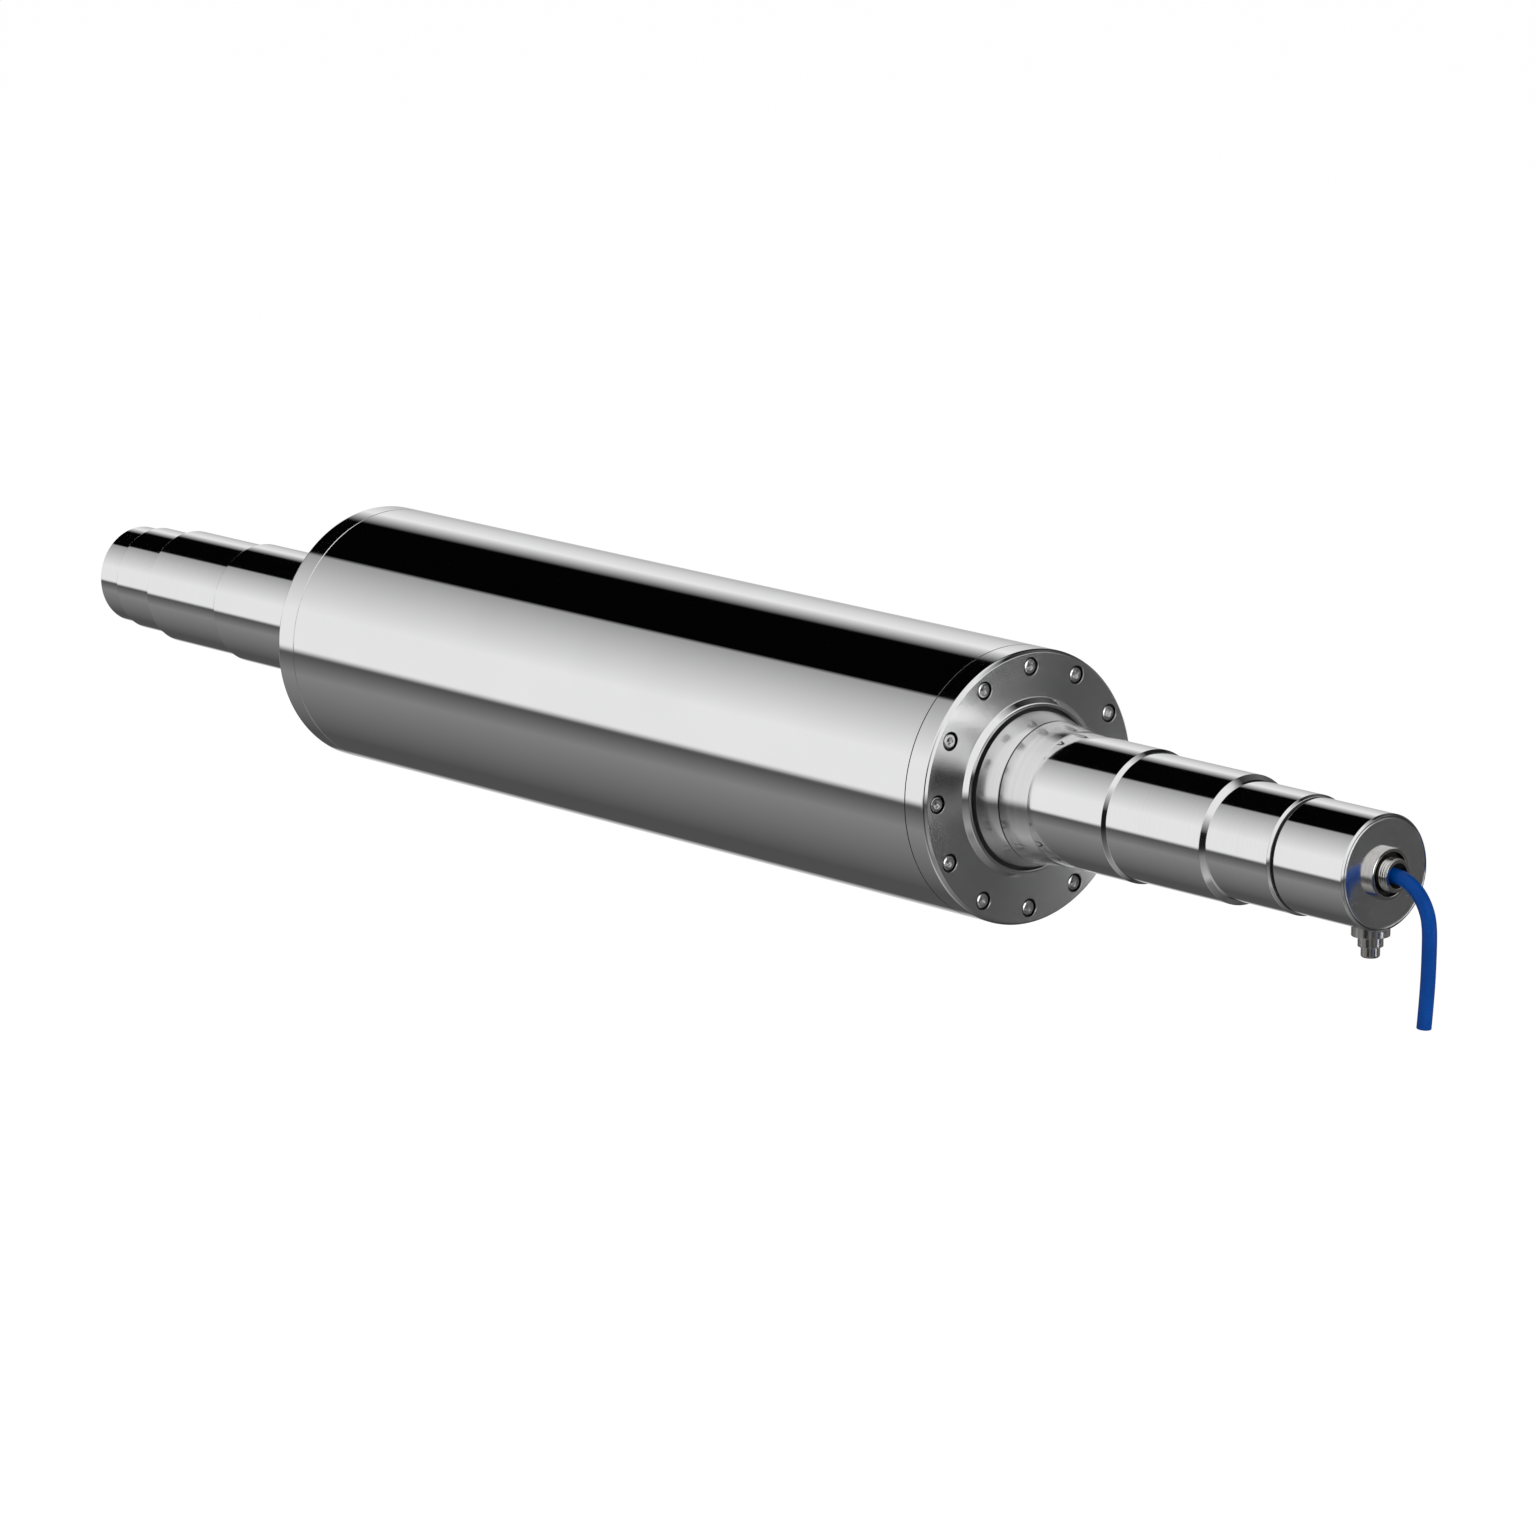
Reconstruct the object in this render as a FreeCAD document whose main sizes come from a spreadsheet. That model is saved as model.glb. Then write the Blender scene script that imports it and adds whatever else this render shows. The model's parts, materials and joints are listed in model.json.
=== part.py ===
"""Induction heating roller for a packaging line.

A hollow polished shell, closed by bolted end flanges on stepped journals, turns round a stationary
inductor: a hollow shaft with a laminated core and three coils. The shaft's near end carries the
stationary head, with the supply cable's gland and a small sensor socket.

The roll's axis is X, with +X towards the head, and +Z is up. The origin is on the axis at the middle
of the head, where a machine's bracket holds it still. All lengths are millimetres.
"""
import FreeCAD, Part
import math
import os
import Sketcher

Vector = FreeCAD.Vector
Rotation = FreeCAD.Rotation

doc = FreeCAD.newDocument("induction_heating_roller")

SIZES = {
    # fits: radial room of a fixed fit, of a shaft in its bush, and of a roller between its races
    "fixed_fit": 0.03,
    "running_fit": 0.05,
    "roller_room": 0.3,
    # shell, with a register turned in each end for the journal's disc
    "shell_radius": 125,
    "shell_length": 900,
    "shell_wall": 33,
    "register_wall": 28,
    "register_depth": 26,
    "seam_bevel": 0.5,
    # jacket bores drilled along the shell's wall, under its face, and plugged at both ends
    "jacket_bore": 7,
    "jacket_under_face": 16,
    "jacket_count": 12,
    "jacket_plug_length": 16,
    # temperature sensors in the shell's wall
    "sensor_radius": 2,
    "sensor_under_face": 6,
    "sensor_length": 200,
    # end flange with its raised hub
    "flange_thickness": 27,
    "flange_bevel": 3,
    "flange_spigot": 4,
    "flange_lip": 8,
    "flange_lip_radius": 72,
    "hub_radius": 82,
    "hub_height": 5,
    "hub_bore": 74,
    "ring_setback": 6,
    # socket-head screws of the flange
    "screw_under_face": 15,
    "screw_count": 12,
    "screw_radius": 4,
    "screw_length": 40,
    "screw_head_radius": 6.5,
    "screw_head_height": 8,
    "screw_key": 6,
    "screw_key_depth": 4,
    "screw_room": 0.5,
    "counterbore_radius": 8.5,
    "counterbore_depth": 9,
    "tapped_depth": 25,
    # journals: disc and boss inside the shell, collar with its root in the hub, taper, ground steps
    "boss_radius": 70,
    "boss_depth": 10,
    "collar_root_radius": 71,
    "collar_root_reach": 34,
    "collar_radius": 65,
    "collar_reach": 58,
    "groove_width": 2,
    "groove_depth": 1.2,
    "taper_reach": 90,
    "taper_radius": 60.8,
    "seat_radius": 60,
    "step_slope": 4,
    "edge_bevel": 2,
    "near_seat_length": 94,
    "near_middle_radius": 57.5,
    "near_middle_length": 120.5,
    "near_tail_radius": 53,
    "near_tail_length": 80.5,
    "journal_bore": 38,
    "far_seat_length": 130,
    "far_middle_radius": 57,
    "far_middle_length": 118,
    "far_tail_radius": 52,
    "far_tail_length": 60,
    "far_stub_radius": 49,
    "far_stub_length": 34,
    "centre_hole_radius": 8,
    # roller bearing between the near journal and the inductor's shaft
    "bearing_outer_radius": 55,
    "bearing_width": 22,
    "bearing_inset": 10.5,
    "bearing_shoulder": 49,
    "rib_width": 3.5,
    "inner_rib_radius": 40,
    "outer_rib_radius": 47.5,
    "roller_radius": 7,
    "roller_ring": 43.5,
    "roller_count": 14,
    "roller_end_room": 0.2,
    "cage_wall": 4,
    "cage_end_room": 0.5,
    "cage_room": 0.15,
    "clip_thickness": 2.5,
    "clip_groove": 2,
    "clip_opening": 24,
    # plain bush between the far journal and the shaft
    "bush_radius": 40,
    "bush_length": 46,
    "bush_flange_radius": 50,
    "bush_flange_thickness": 4,
    "far_relief_radius": 34,
    "far_relief_depth": 50,
    # inductor's shaft
    "shaft_seat": 30,
    "shaft_overrun": 12,
    "shaft_bush_seat": 62,
    "shaft_shoulder": 36,
    "shaft_collar_radius": 54,
    "shaft_collar_thickness": 12,
    "shaft_core_seat": 45,
    "shaft_head_radius": 25,
    "shaft_head_overrun": 13.5,
    "shaft_bore": 14,
    "shaft_bore_run_out": 24,
    # laminated core, its plates and ring nut, with room to the shell's ends and bore
    "core_end_room": 98,
    "core_air_gap": 4,
    "plate_thickness": 8,
    "nut_radius": 56,
    "nut_thickness": 14,
    "spanner_hole": 3,
    "spanner_ring": 50,
    # coils on their former, kept apart by insulating discs
    "former_wall": 2,
    "winding_height": 14,
    "disc_lip": 2,
    "coil_count": 3,
    "coil_bevel": 3,
    "disc_thickness": 6,
    # leads from the coils through the shaft to the terminals
    "lead_radius": 3,
    "lead_ring": 9,
    "lead_passage": 4,
    "lead_turn_place": 28,
    "lead_bend": 8,
    "terminal_block_radius": 22,
    "terminal_block_length": 20,
    # stationary head
    "head_gap": 3.5,
    "head_radius": 51,
    "head_length": 84,
    "head_wall": 7,
    "head_back_wall": 12,
    "head_bevel": 1,
    "head_nut_radius": 40,
    "head_nut_thickness": 10,
    "cover_radius": 48.5,
    "cover_thickness": 8,
    # contactless signal rings that face each other at the gap
    "signal_outer": 48.5,
    "signal_inner": 41,
    "signal_depth": 8,
    "signal_room": 0.7,
    # cable gland
    "gland_flats": 45,
    "gland_turn": 14,
    "gland_hex_thickness": 7,
    "gland_barrel_radius": 14.9,
    "gland_barrel_length": 6.5,
    "gland_shank_radius": 16,
    "gland_shank_length": 16.5,
    "gland_shank_bore": 8,
    "gland_seat_bore": 12.5,
    "gland_seat_depth": 17.5,
    "gland_seal_length": 6.5,
    "gland_recess_radius": 19.5,
    "gland_recess_depth": 4.5,
    "gland_lip": 2,
    "gland_lip_radius": 14.5,
    "gland_mouth": 11,
    "gland_nut_flats": 40,
    "gland_nut_thickness": 7,
    # supply cable
    "cable_radius": 6.5,
    # sensor socket under the head
    "socket_place": 16,
    "socket_base_radius": 16,
    "socket_base_drop": 6,
    "socket_base_rise": 5,
    "socket_stem_radius": 7,
    "socket_stem_rise": 13,
    "socket_core_radius": 6,
    "socket_ring_radius": 10.8,
    "socket_ring_height": 8.5,
    "socket_cap_radius": 8.6,
    "socket_cap_height": 7.5,
    "socket_cap_floor": 1.5,
}

sheet = doc.addObject("Spreadsheet::Sheet", "Sizes")
for row, (alias, number) in enumerate(SIZES.items(), start=1):
    sheet.set(f"A{row}", alias)
    sheet.set(f"B{row}", str(number))
    sheet.setAlias(f"B{row}", alias)
doc.recompute()


class Size:
    """A length that knows its number and its formula in the sheet's names."""

    def __init__(self, number, formula):
        self.number = number
        self.formula = formula

    def __add__(self, other):
        other = as_size(other)
        return Size(self.number + other.number, f"({self.formula} + {other.formula})")

    def __sub__(self, other):
        other = as_size(other)
        return Size(self.number - other.number, f"({self.formula} - {other.formula})")

    def __mul__(self, other):
        other = as_size(other)
        return Size(self.number * other.number, f"({self.formula} * {other.formula})")

    def __truediv__(self, other):
        other = as_size(other)
        return Size(self.number / other.number, f"({self.formula} / {other.formula})")

    def __neg__(self):
        return Size(-self.number, f"(-{self.formula})")


def as_size(value):
    """A plain number, or a size already, as a size."""
    return value if isinstance(value, Size) else Size(value, repr(value))


class Sheet:
    """The sheet's sizes by name, such as size.shell_radius."""

    def __getattr__(self, alias):
        return Size(float(sheet.get(alias)), f"Sizes.{alias}")


size = Sheet()
ZERO = Size(0.0, "0")
ROOT_THREE = Size(math.sqrt(3), "sqrt(3)")

# Places along the axis, counted from the shell's middle towards the head.
shell_end = size.shell_length / 2
near_end = (shell_end + size.taper_reach + size.near_seat_length
            + size.near_middle_length + size.near_tail_length)
head_back = near_end + size.head_gap
head_front = head_back + size.head_length
origin = head_back + size.head_length / 2

# Radii of what lies in or under the shell's wall, counted in from its face.
shell_bore = size.shell_radius - size.shell_wall
register_radius = size.shell_radius - size.register_wall
jacket_ring = size.shell_radius - size.jacket_under_face
sensor_ring = size.shell_radius - size.sensor_under_face
screw_ring = size.shell_radius - size.screw_under_face
plate_radius = shell_bore - size.core_air_gap
coil_radius = plate_radius - size.disc_lip
former_radius = coil_radius - size.winding_height
core_radius = former_radius - size.former_wall
lead_outer_ring = former_radius + size.winding_height / 2

# Depths inwards from the shell's end face, shared by both journals.
disc_back = size.register_depth
boss_back = size.register_depth + size.boss_depth

# Turns that point a piece's own +X along the axis, the other way, or straight down.
AHEAD = Rotation()
BACK = Rotation(Vector(0, 0, 1), 180)
DOWN = Rotation(Vector(0, 1, 0), 90)
UPSIDE_DOWN = Rotation(Vector(1, 0, 0), 180)

parts = {}


def keep(label, shape_object):
    """Name a finished sub-part and list it for writing."""
    shape_object.Label = label
    parts[label] = shape_object
    return shape_object


def put(shape_object, place, turn=AHEAD):
    """Put a piece's own origin at a place along the axis, counted from the shell's middle."""
    along = place - origin
    shape_object.Placement = FreeCAD.Placement(Vector(along.number, 0, 0), turn)
    shape_object.setExpression("Placement.Base.x", along.formula)
    return shape_object


def datum(body, role):
    """One of the body's own origin planes or axes."""
    for feature in body.Origin.OriginFeatures:
        if feature.Role == role:
            return feature
    raise ValueError(role)


def constrain(sketch, kind, place, value):
    """Add one dimension to a sketch and bind it to the sheet."""
    index = sketch.addConstraint(Sketcher.Constraint(kind, *place, value.number))
    sketch.setExpression(f"Constraints[{index}]", value.formula)


def new_sketch(body, role, name, offset=ZERO, angle=0.0):
    """A sketch on one of the body's origin planes, moved along its normal and turned."""
    sketch = body.newObject("Sketcher::SketchObject", name)
    sketch.AttachmentSupport = (datum(body, role), [""])
    sketch.MapMode = "FlatFace"
    turn = Rotation(Vector(0, 0, 1), angle)
    sketch.AttachmentOffset = FreeCAD.Placement(Vector(0, 0, offset.number), turn)
    sketch.setExpression("AttachmentOffset.Base.z", offset.formula)
    return sketch


def draw_outline(sketch, outline):
    """Draw a closed outline of (along, radius) corners, each held by two dimensions."""
    corners = [(as_size(along), as_size(radius)) for along, radius in outline]
    spots = [Vector(along.number, radius.number, 0) for along, radius in corners]
    for start, end in zip(spots, spots[1:] + spots[:1]):
        sketch.addGeometry(Part.LineSegment(start, end))
    for index, (along, radius) in enumerate(corners):
        before = (index - 1) % len(corners)
        sketch.addConstraint(Sketcher.Constraint("Coincident", before, 2, index, 1))
        constrain(sketch, "DistanceX", (-1, 1, index, 1), along)
        constrain(sketch, "DistanceY", (-1, 1, index, 1), radius)


def turned(label, outline, opening=0.0):
    """A piece turned about its own X axis, with a gap of opening degrees where it is split."""
    body = doc.addObject("PartDesign::Body", label)
    sketch = new_sketch(body, "XZ_Plane", f"{label}_outline")
    draw_outline(sketch, outline)
    spin = body.newObject("PartDesign::Revolution", f"{label}_turned")
    spin.Profile = sketch
    spin.ReferenceAxis = (sketch, ["H_Axis"])
    spin.Midplane = opening > 0
    spin.Angle = 360 - opening
    return body


def tube(label, inner, outer, length):
    """A plain turned ring from its own origin to its length."""
    return turned(label, [(ZERO, inner), (ZERO, outer), (length, outer), (length, inner)])


def spin_pattern(body, name, features, count):
    """Repeat cuts evenly round the body's X axis."""
    if count == 1:
        return
    pattern = body.newObject("PartDesign::PolarPattern", name)
    pattern.Originals = features
    pattern.Axis = (datum(body, "X_Axis"), [""])
    pattern.Angle = 360
    pattern.Occurrences = count
    body.Tip = pattern


def drill_ring(body, name, hole, ring, start, depth, count, first=0.0, ahead=False):
    """Cut holes of one radius on a ring, from a plane at start, towards -X or ahead to +X."""
    sketch = new_sketch(body, "YZ_Plane", f"{name}_mark", start, first)
    sketch.addGeometry(Part.Circle(Vector(ring.number, 0, 0), Vector(0, 0, 1), hole.number))
    constrain(sketch, "Radius", (0,), hole)
    constrain(sketch, "DistanceX", (-1, 1, 0, 3), ring)
    constrain(sketch, "DistanceY", (-1, 1, 0, 3), ZERO)
    pocket = body.newObject("PartDesign::Pocket", name)
    pocket.Profile = sketch
    pocket.Reversed = ahead
    pocket.Length = depth.number
    pocket.setExpression("Length", depth.formula)
    spin_pattern(body, f"{name}_ring", [pocket], count)


def drill_across(body, name, hole, along, depth, count=1, up=True):
    """Drill holes of one radius out from the axis, upwards or downwards, evenly round it."""
    sketch = new_sketch(body, "XY_Plane", f"{name}_mark")
    sketch.addGeometry(Part.Circle(Vector(along.number, 0, 0), Vector(0, 0, 1), hole.number))
    constrain(sketch, "Radius", (0,), hole)
    constrain(sketch, "DistanceX", (-1, 1, 0, 3), along)
    constrain(sketch, "DistanceY", (-1, 1, 0, 3), ZERO)
    pocket = body.newObject("PartDesign::Pocket", name)
    pocket.Profile = sketch
    pocket.Reversed = up
    pocket.Length = depth.number
    pocket.setExpression("Length", depth.formula)
    spin_pattern(body, f"{name}_ring", [pocket], count)


def draw_hexagon(sketch, flats):
    """A hexagon of the given width across flats, with a corner at the top."""
    corner = flats / ROOT_THREE
    angles = [math.radians(90 + 60 * index) for index in range(6)]
    spots = [Vector(corner.number * math.cos(a), corner.number * math.sin(a), 0) for a in angles]
    for start, end in zip(spots, spots[1:] + spots[:1]):
        sketch.addGeometry(Part.LineSegment(start, end))
    around = sketch.addGeometry(Part.Circle(Vector(), Vector(0, 0, 1), corner.number), True)
    sketch.addConstraint(Sketcher.Constraint("Coincident", around, 3, -1, 1))
    constrain(sketch, "Radius", (around,), corner)
    for index in range(6):
        before = (index - 1) % 6
        sketch.addConstraint(Sketcher.Constraint("Coincident", before, 2, index, 1))
        sketch.addConstraint(Sketcher.Constraint("PointOnObject", index, 1, around))
        if index > 0:
            sketch.addConstraint(Sketcher.Constraint("Equal", 0, index))
    sketch.addConstraint(Sketcher.Constraint("PointOnObject", 0, 1, -2))


def add_hexagon(body, name, flats, bore, start, thickness, angle=0.0):
    """Pad a hexagon with a round bore onto a body, ahead from a plane at start."""
    sketch = new_sketch(body, "YZ_Plane", f"{name}_outline", start, angle)
    draw_hexagon(sketch, flats)
    bore_index = sketch.addGeometry(Part.Circle(Vector(), Vector(0, 0, 1), bore.number))
    sketch.addConstraint(Sketcher.Constraint("Coincident", bore_index, 3, -1, 1))
    constrain(sketch, "Radius", (bore_index,), bore)
    pad = body.newObject("PartDesign::Pad", name)
    pad.Profile = sketch
    pad.Length = thickness.number
    pad.setExpression("Length", thickness.formula)


def turn_away(body, name, outline):
    """Turn material off a body, round its own X axis."""
    sketch = new_sketch(body, "XZ_Plane", f"{name}_outline")
    draw_outline(sketch, outline)
    groove = body.newObject("PartDesign::Groove", name)
    groove.Profile = sketch
    groove.ReferenceAxis = (sketch, ["H_Axis"])
    groove.Angle = 360


def socket_key(body, name, flats, depth, face):
    """Sink a hexagon socket into a screw's head, towards +X from its face."""
    sketch = new_sketch(body, "YZ_Plane", f"{name}_outline", face)
    draw_hexagon(sketch, flats)
    pocket = body.newObject("PartDesign::Pocket", name)
    pocket.Profile = sketch
    pocket.Length = depth.number
    pocket.setExpression("Length", depth.formula)


def group(label, shapes):
    """One sub-part made of separate like solids, in place."""
    piece = doc.addObject("Part::Feature", label)
    piece.Shape = Part.makeCompound(shapes)
    return keep(label, piece)


def placed_copy(shape, along, radius, angle, turn=AHEAD):
    """A copy of a shape on a ring about the axis, at a place counted from the shell's middle."""
    copy = shape.copy()
    spin = Rotation(Vector(1, 0, 0), angle)
    spot = Vector((along - origin).number, 0, 0) + spin.multVec(Vector(0, radius.number, 0))
    copy.Placement = FreeCAD.Placement(spot, turn)
    return copy


def ring_angles(count, first=0.0):
    """Evenly spaced angles round the axis, from +Y towards +Z."""
    return [first + 360.0 * index / count for index in range(count)]


def make_shell():
    """The roll's shell: a thick tube with a register in each end, drilled along its wall."""
    length = size.shell_length
    bevel = size.seam_bevel
    rim = size.shell_radius - bevel
    body = turned("roll_shell", [
        (ZERO, register_radius),
        (ZERO, rim),
        (bevel, size.shell_radius),
        (length - bevel, size.shell_radius),
        (length, rim),
        (length, register_radius),
        (length - size.register_depth, register_radius),
        (length - size.register_depth, shell_bore),
        (size.register_depth, shell_bore),
        (size.register_depth, register_radius),
    ])
    jackets = int(size.jacket_count.number)
    screws = int(size.screw_count.number)
    drill_ring(body, "jacket_bores", size.jacket_bore, jacket_ring, length, length,
               jackets, first=180.0 / jackets)
    drill_ring(body, "near_tapped_holes", size.screw_radius + size.fixed_fit, screw_ring,
               length, size.tapped_depth, screws)
    drill_ring(body, "far_tapped_holes", size.screw_radius + size.fixed_fit, screw_ring,
               ZERO, size.tapped_depth, screws, ahead=True)
    drill_ring(body, "sensor_holes", size.sensor_radius + size.fixed_fit, sensor_ring,
               length, size.sensor_length, 2, first=90.0)
    keep("roll_shell", put(body, -shell_end))


def make_jacket_plugs():
    """Plugs that close the jacket bores, flush with the shell's two end faces."""
    length = size.jacket_plug_length
    plug = turned("one_jacket_plug", [
        (ZERO, ZERO),
        (ZERO, size.jacket_bore - size.fixed_fit),
        (length, size.jacket_bore - size.fixed_fit),
        (length, ZERO),
    ])
    doc.recompute()
    jackets = int(size.jacket_count.number)
    shapes = []
    for angle in ring_angles(jackets, 180.0 / jackets):
        shapes.append(placed_copy(plug.Shape, shell_end - length, jacket_ring, angle))
        shapes.append(placed_copy(plug.Shape, -shell_end, jacket_ring, angle))
    group("jacket_plugs", shapes)


def make_temperature_sensors():
    """Two rod sensors, opposite each other, close under the roll's face."""
    rod = turned("one_sensor", [
        (ZERO, ZERO),
        (ZERO, size.sensor_radius),
        (size.sensor_length, size.sensor_radius),
        (size.sensor_length, ZERO),
    ])
    doc.recompute()
    shapes = []
    for angle in ring_angles(2, 90.0):
        place = shell_end - size.sensor_length
        shapes.append(placed_copy(rod.Shape, place, sensor_ring, angle))
    group("temperature_sensors", shapes)


def make_flange(label, place, turn):
    """An end flange: a disc with a raised hub, a spigot and counterbored screw holes."""
    face = size.flange_thickness
    hub_face = face + size.hub_height
    inner = size.flange_lip - size.flange_spigot
    body = turned(label, [
        (-size.flange_spigot, size.flange_lip_radius),
        (-size.flange_spigot, register_radius - size.fixed_fit),
        (ZERO, register_radius - size.fixed_fit),
        (ZERO, size.shell_radius - size.seam_bevel),
        (size.seam_bevel, size.shell_radius),
        (face - size.flange_bevel, size.shell_radius),
        (face, size.shell_radius - size.flange_bevel),
        (face, size.hub_radius),
        (hub_face, size.hub_radius - size.hub_height),
        (hub_face, size.hub_bore),
        (inner, size.hub_bore),
        (inner, size.flange_lip_radius),
    ])
    screws = int(size.screw_count.number)
    drill_ring(body, f"{label}_counterbores", size.counterbore_radius, screw_ring,
               face, size.counterbore_depth, screws)
    drill_ring(body, f"{label}_screw_holes", size.screw_radius + size.screw_room, screw_ring,
               face, face, screws)
    keep(label, put(body, place, turn))


def make_flange_screws():
    """The socket-head screws of both flanges, alike."""
    seat = size.flange_thickness - size.counterbore_depth
    top = size.screw_head_height
    screw = turned("one_flange_screw", [
        (-size.screw_length, ZERO),
        (-size.screw_length, size.screw_radius),
        (ZERO, size.screw_radius),
        (ZERO, size.screw_head_radius),
        (top, size.screw_head_radius),
        (top, ZERO),
    ])
    socket_key(screw, "screw_socket", size.screw_key, size.screw_key_depth, top)
    doc.recompute()
    shapes = []
    for angle in ring_angles(int(size.screw_count.number)):
        near = shell_end + seat
        shapes.append(placed_copy(screw.Shape, near, screw_ring, angle))
        shapes.append(placed_copy(screw.Shape, -near, screw_ring, angle, BACK))
    group("flange_screws", shapes)


def make_insulating_ring(label, place, turn):
    """Dark insulating ring that fills the hub round the journal's collar, set back from its face."""
    start = size.flange_lip - size.flange_spigot
    length = size.flange_thickness + size.hub_height - size.ring_setback - start
    outline = [
        (start, size.collar_root_radius + size.fixed_fit),
        (start, size.hub_bore - size.fixed_fit),
        (start + length, size.hub_bore - size.fixed_fit),
        (start + length, size.collar_root_radius + size.fixed_fit),
    ]
    keep(label, put(turned(label, outline), place, turn))


def journal_outside(pocket, seat_length):
    """Corners shared by both journals, from the pocket's mouth out to the bearing seat's end."""
    groove = size.collar_reach - size.groove_width
    return [
        (-boss_back, pocket),
        (-boss_back, size.boss_radius),
        (-disc_back, size.boss_radius),
        (-disc_back, register_radius - size.fixed_fit),
        (-size.flange_spigot, register_radius - size.fixed_fit),
        (-size.flange_spigot, size.collar_root_radius),
        (size.collar_root_reach, size.collar_root_radius),
        (groove, size.collar_radius),
        (groove + size.groove_width / 2, size.collar_radius - size.groove_depth),
        (size.collar_reach, size.collar_radius),
        (size.taper_reach, size.taper_radius),
        (size.taper_reach, size.seat_radius),
        (size.taper_reach + seat_length, size.seat_radius),
    ]


def make_near_journal():
    """Hollow near journal: bearing pocket, collar, taper, three ground steps, signal ring recess."""
    pocket = size.bearing_outer_radius + size.fixed_fit
    seat_end = size.taper_reach + size.near_seat_length
    middle_end = seat_end + size.near_middle_length
    end = middle_end + size.near_tail_length
    clip_front = size.bearing_inset + size.bearing_width
    clip_back = clip_front + size.clip_thickness + size.fixed_fit
    outline = journal_outside(pocket, size.near_seat_length) + [
        (seat_end + size.step_slope, size.near_middle_radius),
        (middle_end, size.near_middle_radius),
        (middle_end + size.step_slope, size.near_tail_radius),
        (end - size.edge_bevel, size.near_tail_radius),
        (end, size.near_tail_radius - size.edge_bevel),
        (end, size.signal_outer + size.fixed_fit),
        (end - size.signal_depth, size.signal_outer + size.fixed_fit),
        (end - size.signal_depth, size.signal_inner),
        (end, size.signal_inner),
        (end, size.journal_bore),
        (ZERO, size.journal_bore),
        (ZERO, size.bearing_shoulder),
        (-size.bearing_inset, size.bearing_shoulder),
        (-size.bearing_inset, pocket),
        (-clip_front, pocket),
        (-clip_front, pocket + size.clip_groove),
        (-clip_back, pocket + size.clip_groove),
        (-clip_back, pocket),
    ]
    keep("near_journal", put(turned("near_journal", outline), shell_end))


def make_far_journal():
    """Far journal: bush pocket, four ground steps and a centre hole in its end."""
    pocket = size.bush_radius + size.fixed_fit
    seat_end = size.taper_reach + size.far_seat_length
    middle_end = seat_end + size.far_middle_length
    tail_end = middle_end + size.far_tail_length
    end = tail_end + size.far_stub_length
    bush_end = size.bush_length - boss_back
    relief_end = bush_end + size.far_relief_depth
    outline = journal_outside(pocket, size.far_seat_length) + [
        (seat_end + size.step_slope, size.far_middle_radius),
        (middle_end, size.far_middle_radius),
        (middle_end + size.step_slope, size.far_tail_radius),
        (tail_end, size.far_tail_radius),
        (tail_end + size.step_slope, size.far_stub_radius),
        (end - size.edge_bevel, size.far_stub_radius),
        (end, size.far_stub_radius - size.edge_bevel),
        (end, size.centre_hole_radius),
        (end - size.centre_hole_radius * ROOT_THREE, ZERO),
        (relief_end, ZERO),
        (relief_end, size.far_relief_radius),
        (bush_end, size.far_relief_radius),
        (bush_end, pocket),
    ]
    keep("far_journal", put(turned("far_journal", outline), -shell_end, BACK))


def make_far_bush():
    """Flanged bush in the far journal, in which the inductor's shaft may creep as it warms."""
    bore = size.shaft_seat + size.running_fit
    outline = [
        (-boss_back - size.bush_flange_thickness, bore),
        (-boss_back - size.bush_flange_thickness, size.bush_flange_radius),
        (-boss_back, size.bush_flange_radius),
        (-boss_back, size.bush_radius),
        (size.bush_length - boss_back, size.bush_radius),
        (size.bush_length - boss_back, bore),
    ]
    keep("far_bush", put(turned("far_bush", outline), -shell_end, BACK))


bearing_back = shell_end - size.bearing_inset - size.bearing_width


def make_bearing_rings():
    """Inner and outer ring of the near bearing, each with two ribs beside its race."""
    width = size.bearing_width
    rib = size.rib_width
    inner_race = size.roller_ring - size.roller_radius - size.roller_room
    outer_race = size.roller_ring + size.roller_radius + size.roller_room
    inner = turned("bearing_inner_ring", [
        (ZERO, size.shaft_seat + size.fixed_fit),
        (ZERO, size.inner_rib_radius),
        (rib, size.inner_rib_radius),
        (rib, inner_race),
        (width - rib, inner_race),
        (width - rib, size.inner_rib_radius),
        (width, size.inner_rib_radius),
        (width, size.shaft_seat + size.fixed_fit),
    ])
    outer = turned("bearing_outer_ring", [
        (ZERO, size.outer_rib_radius),
        (ZERO, size.bearing_outer_radius),
        (width, size.bearing_outer_radius),
        (width, size.outer_rib_radius),
        (width - rib, size.outer_rib_radius),
        (width - rib, outer_race),
        (rib, outer_race),
        (rib, size.outer_rib_radius),
    ])
    keep("bearing_inner_ring", put(inner, bearing_back))
    keep("bearing_outer_ring", put(outer, bearing_back))


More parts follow.
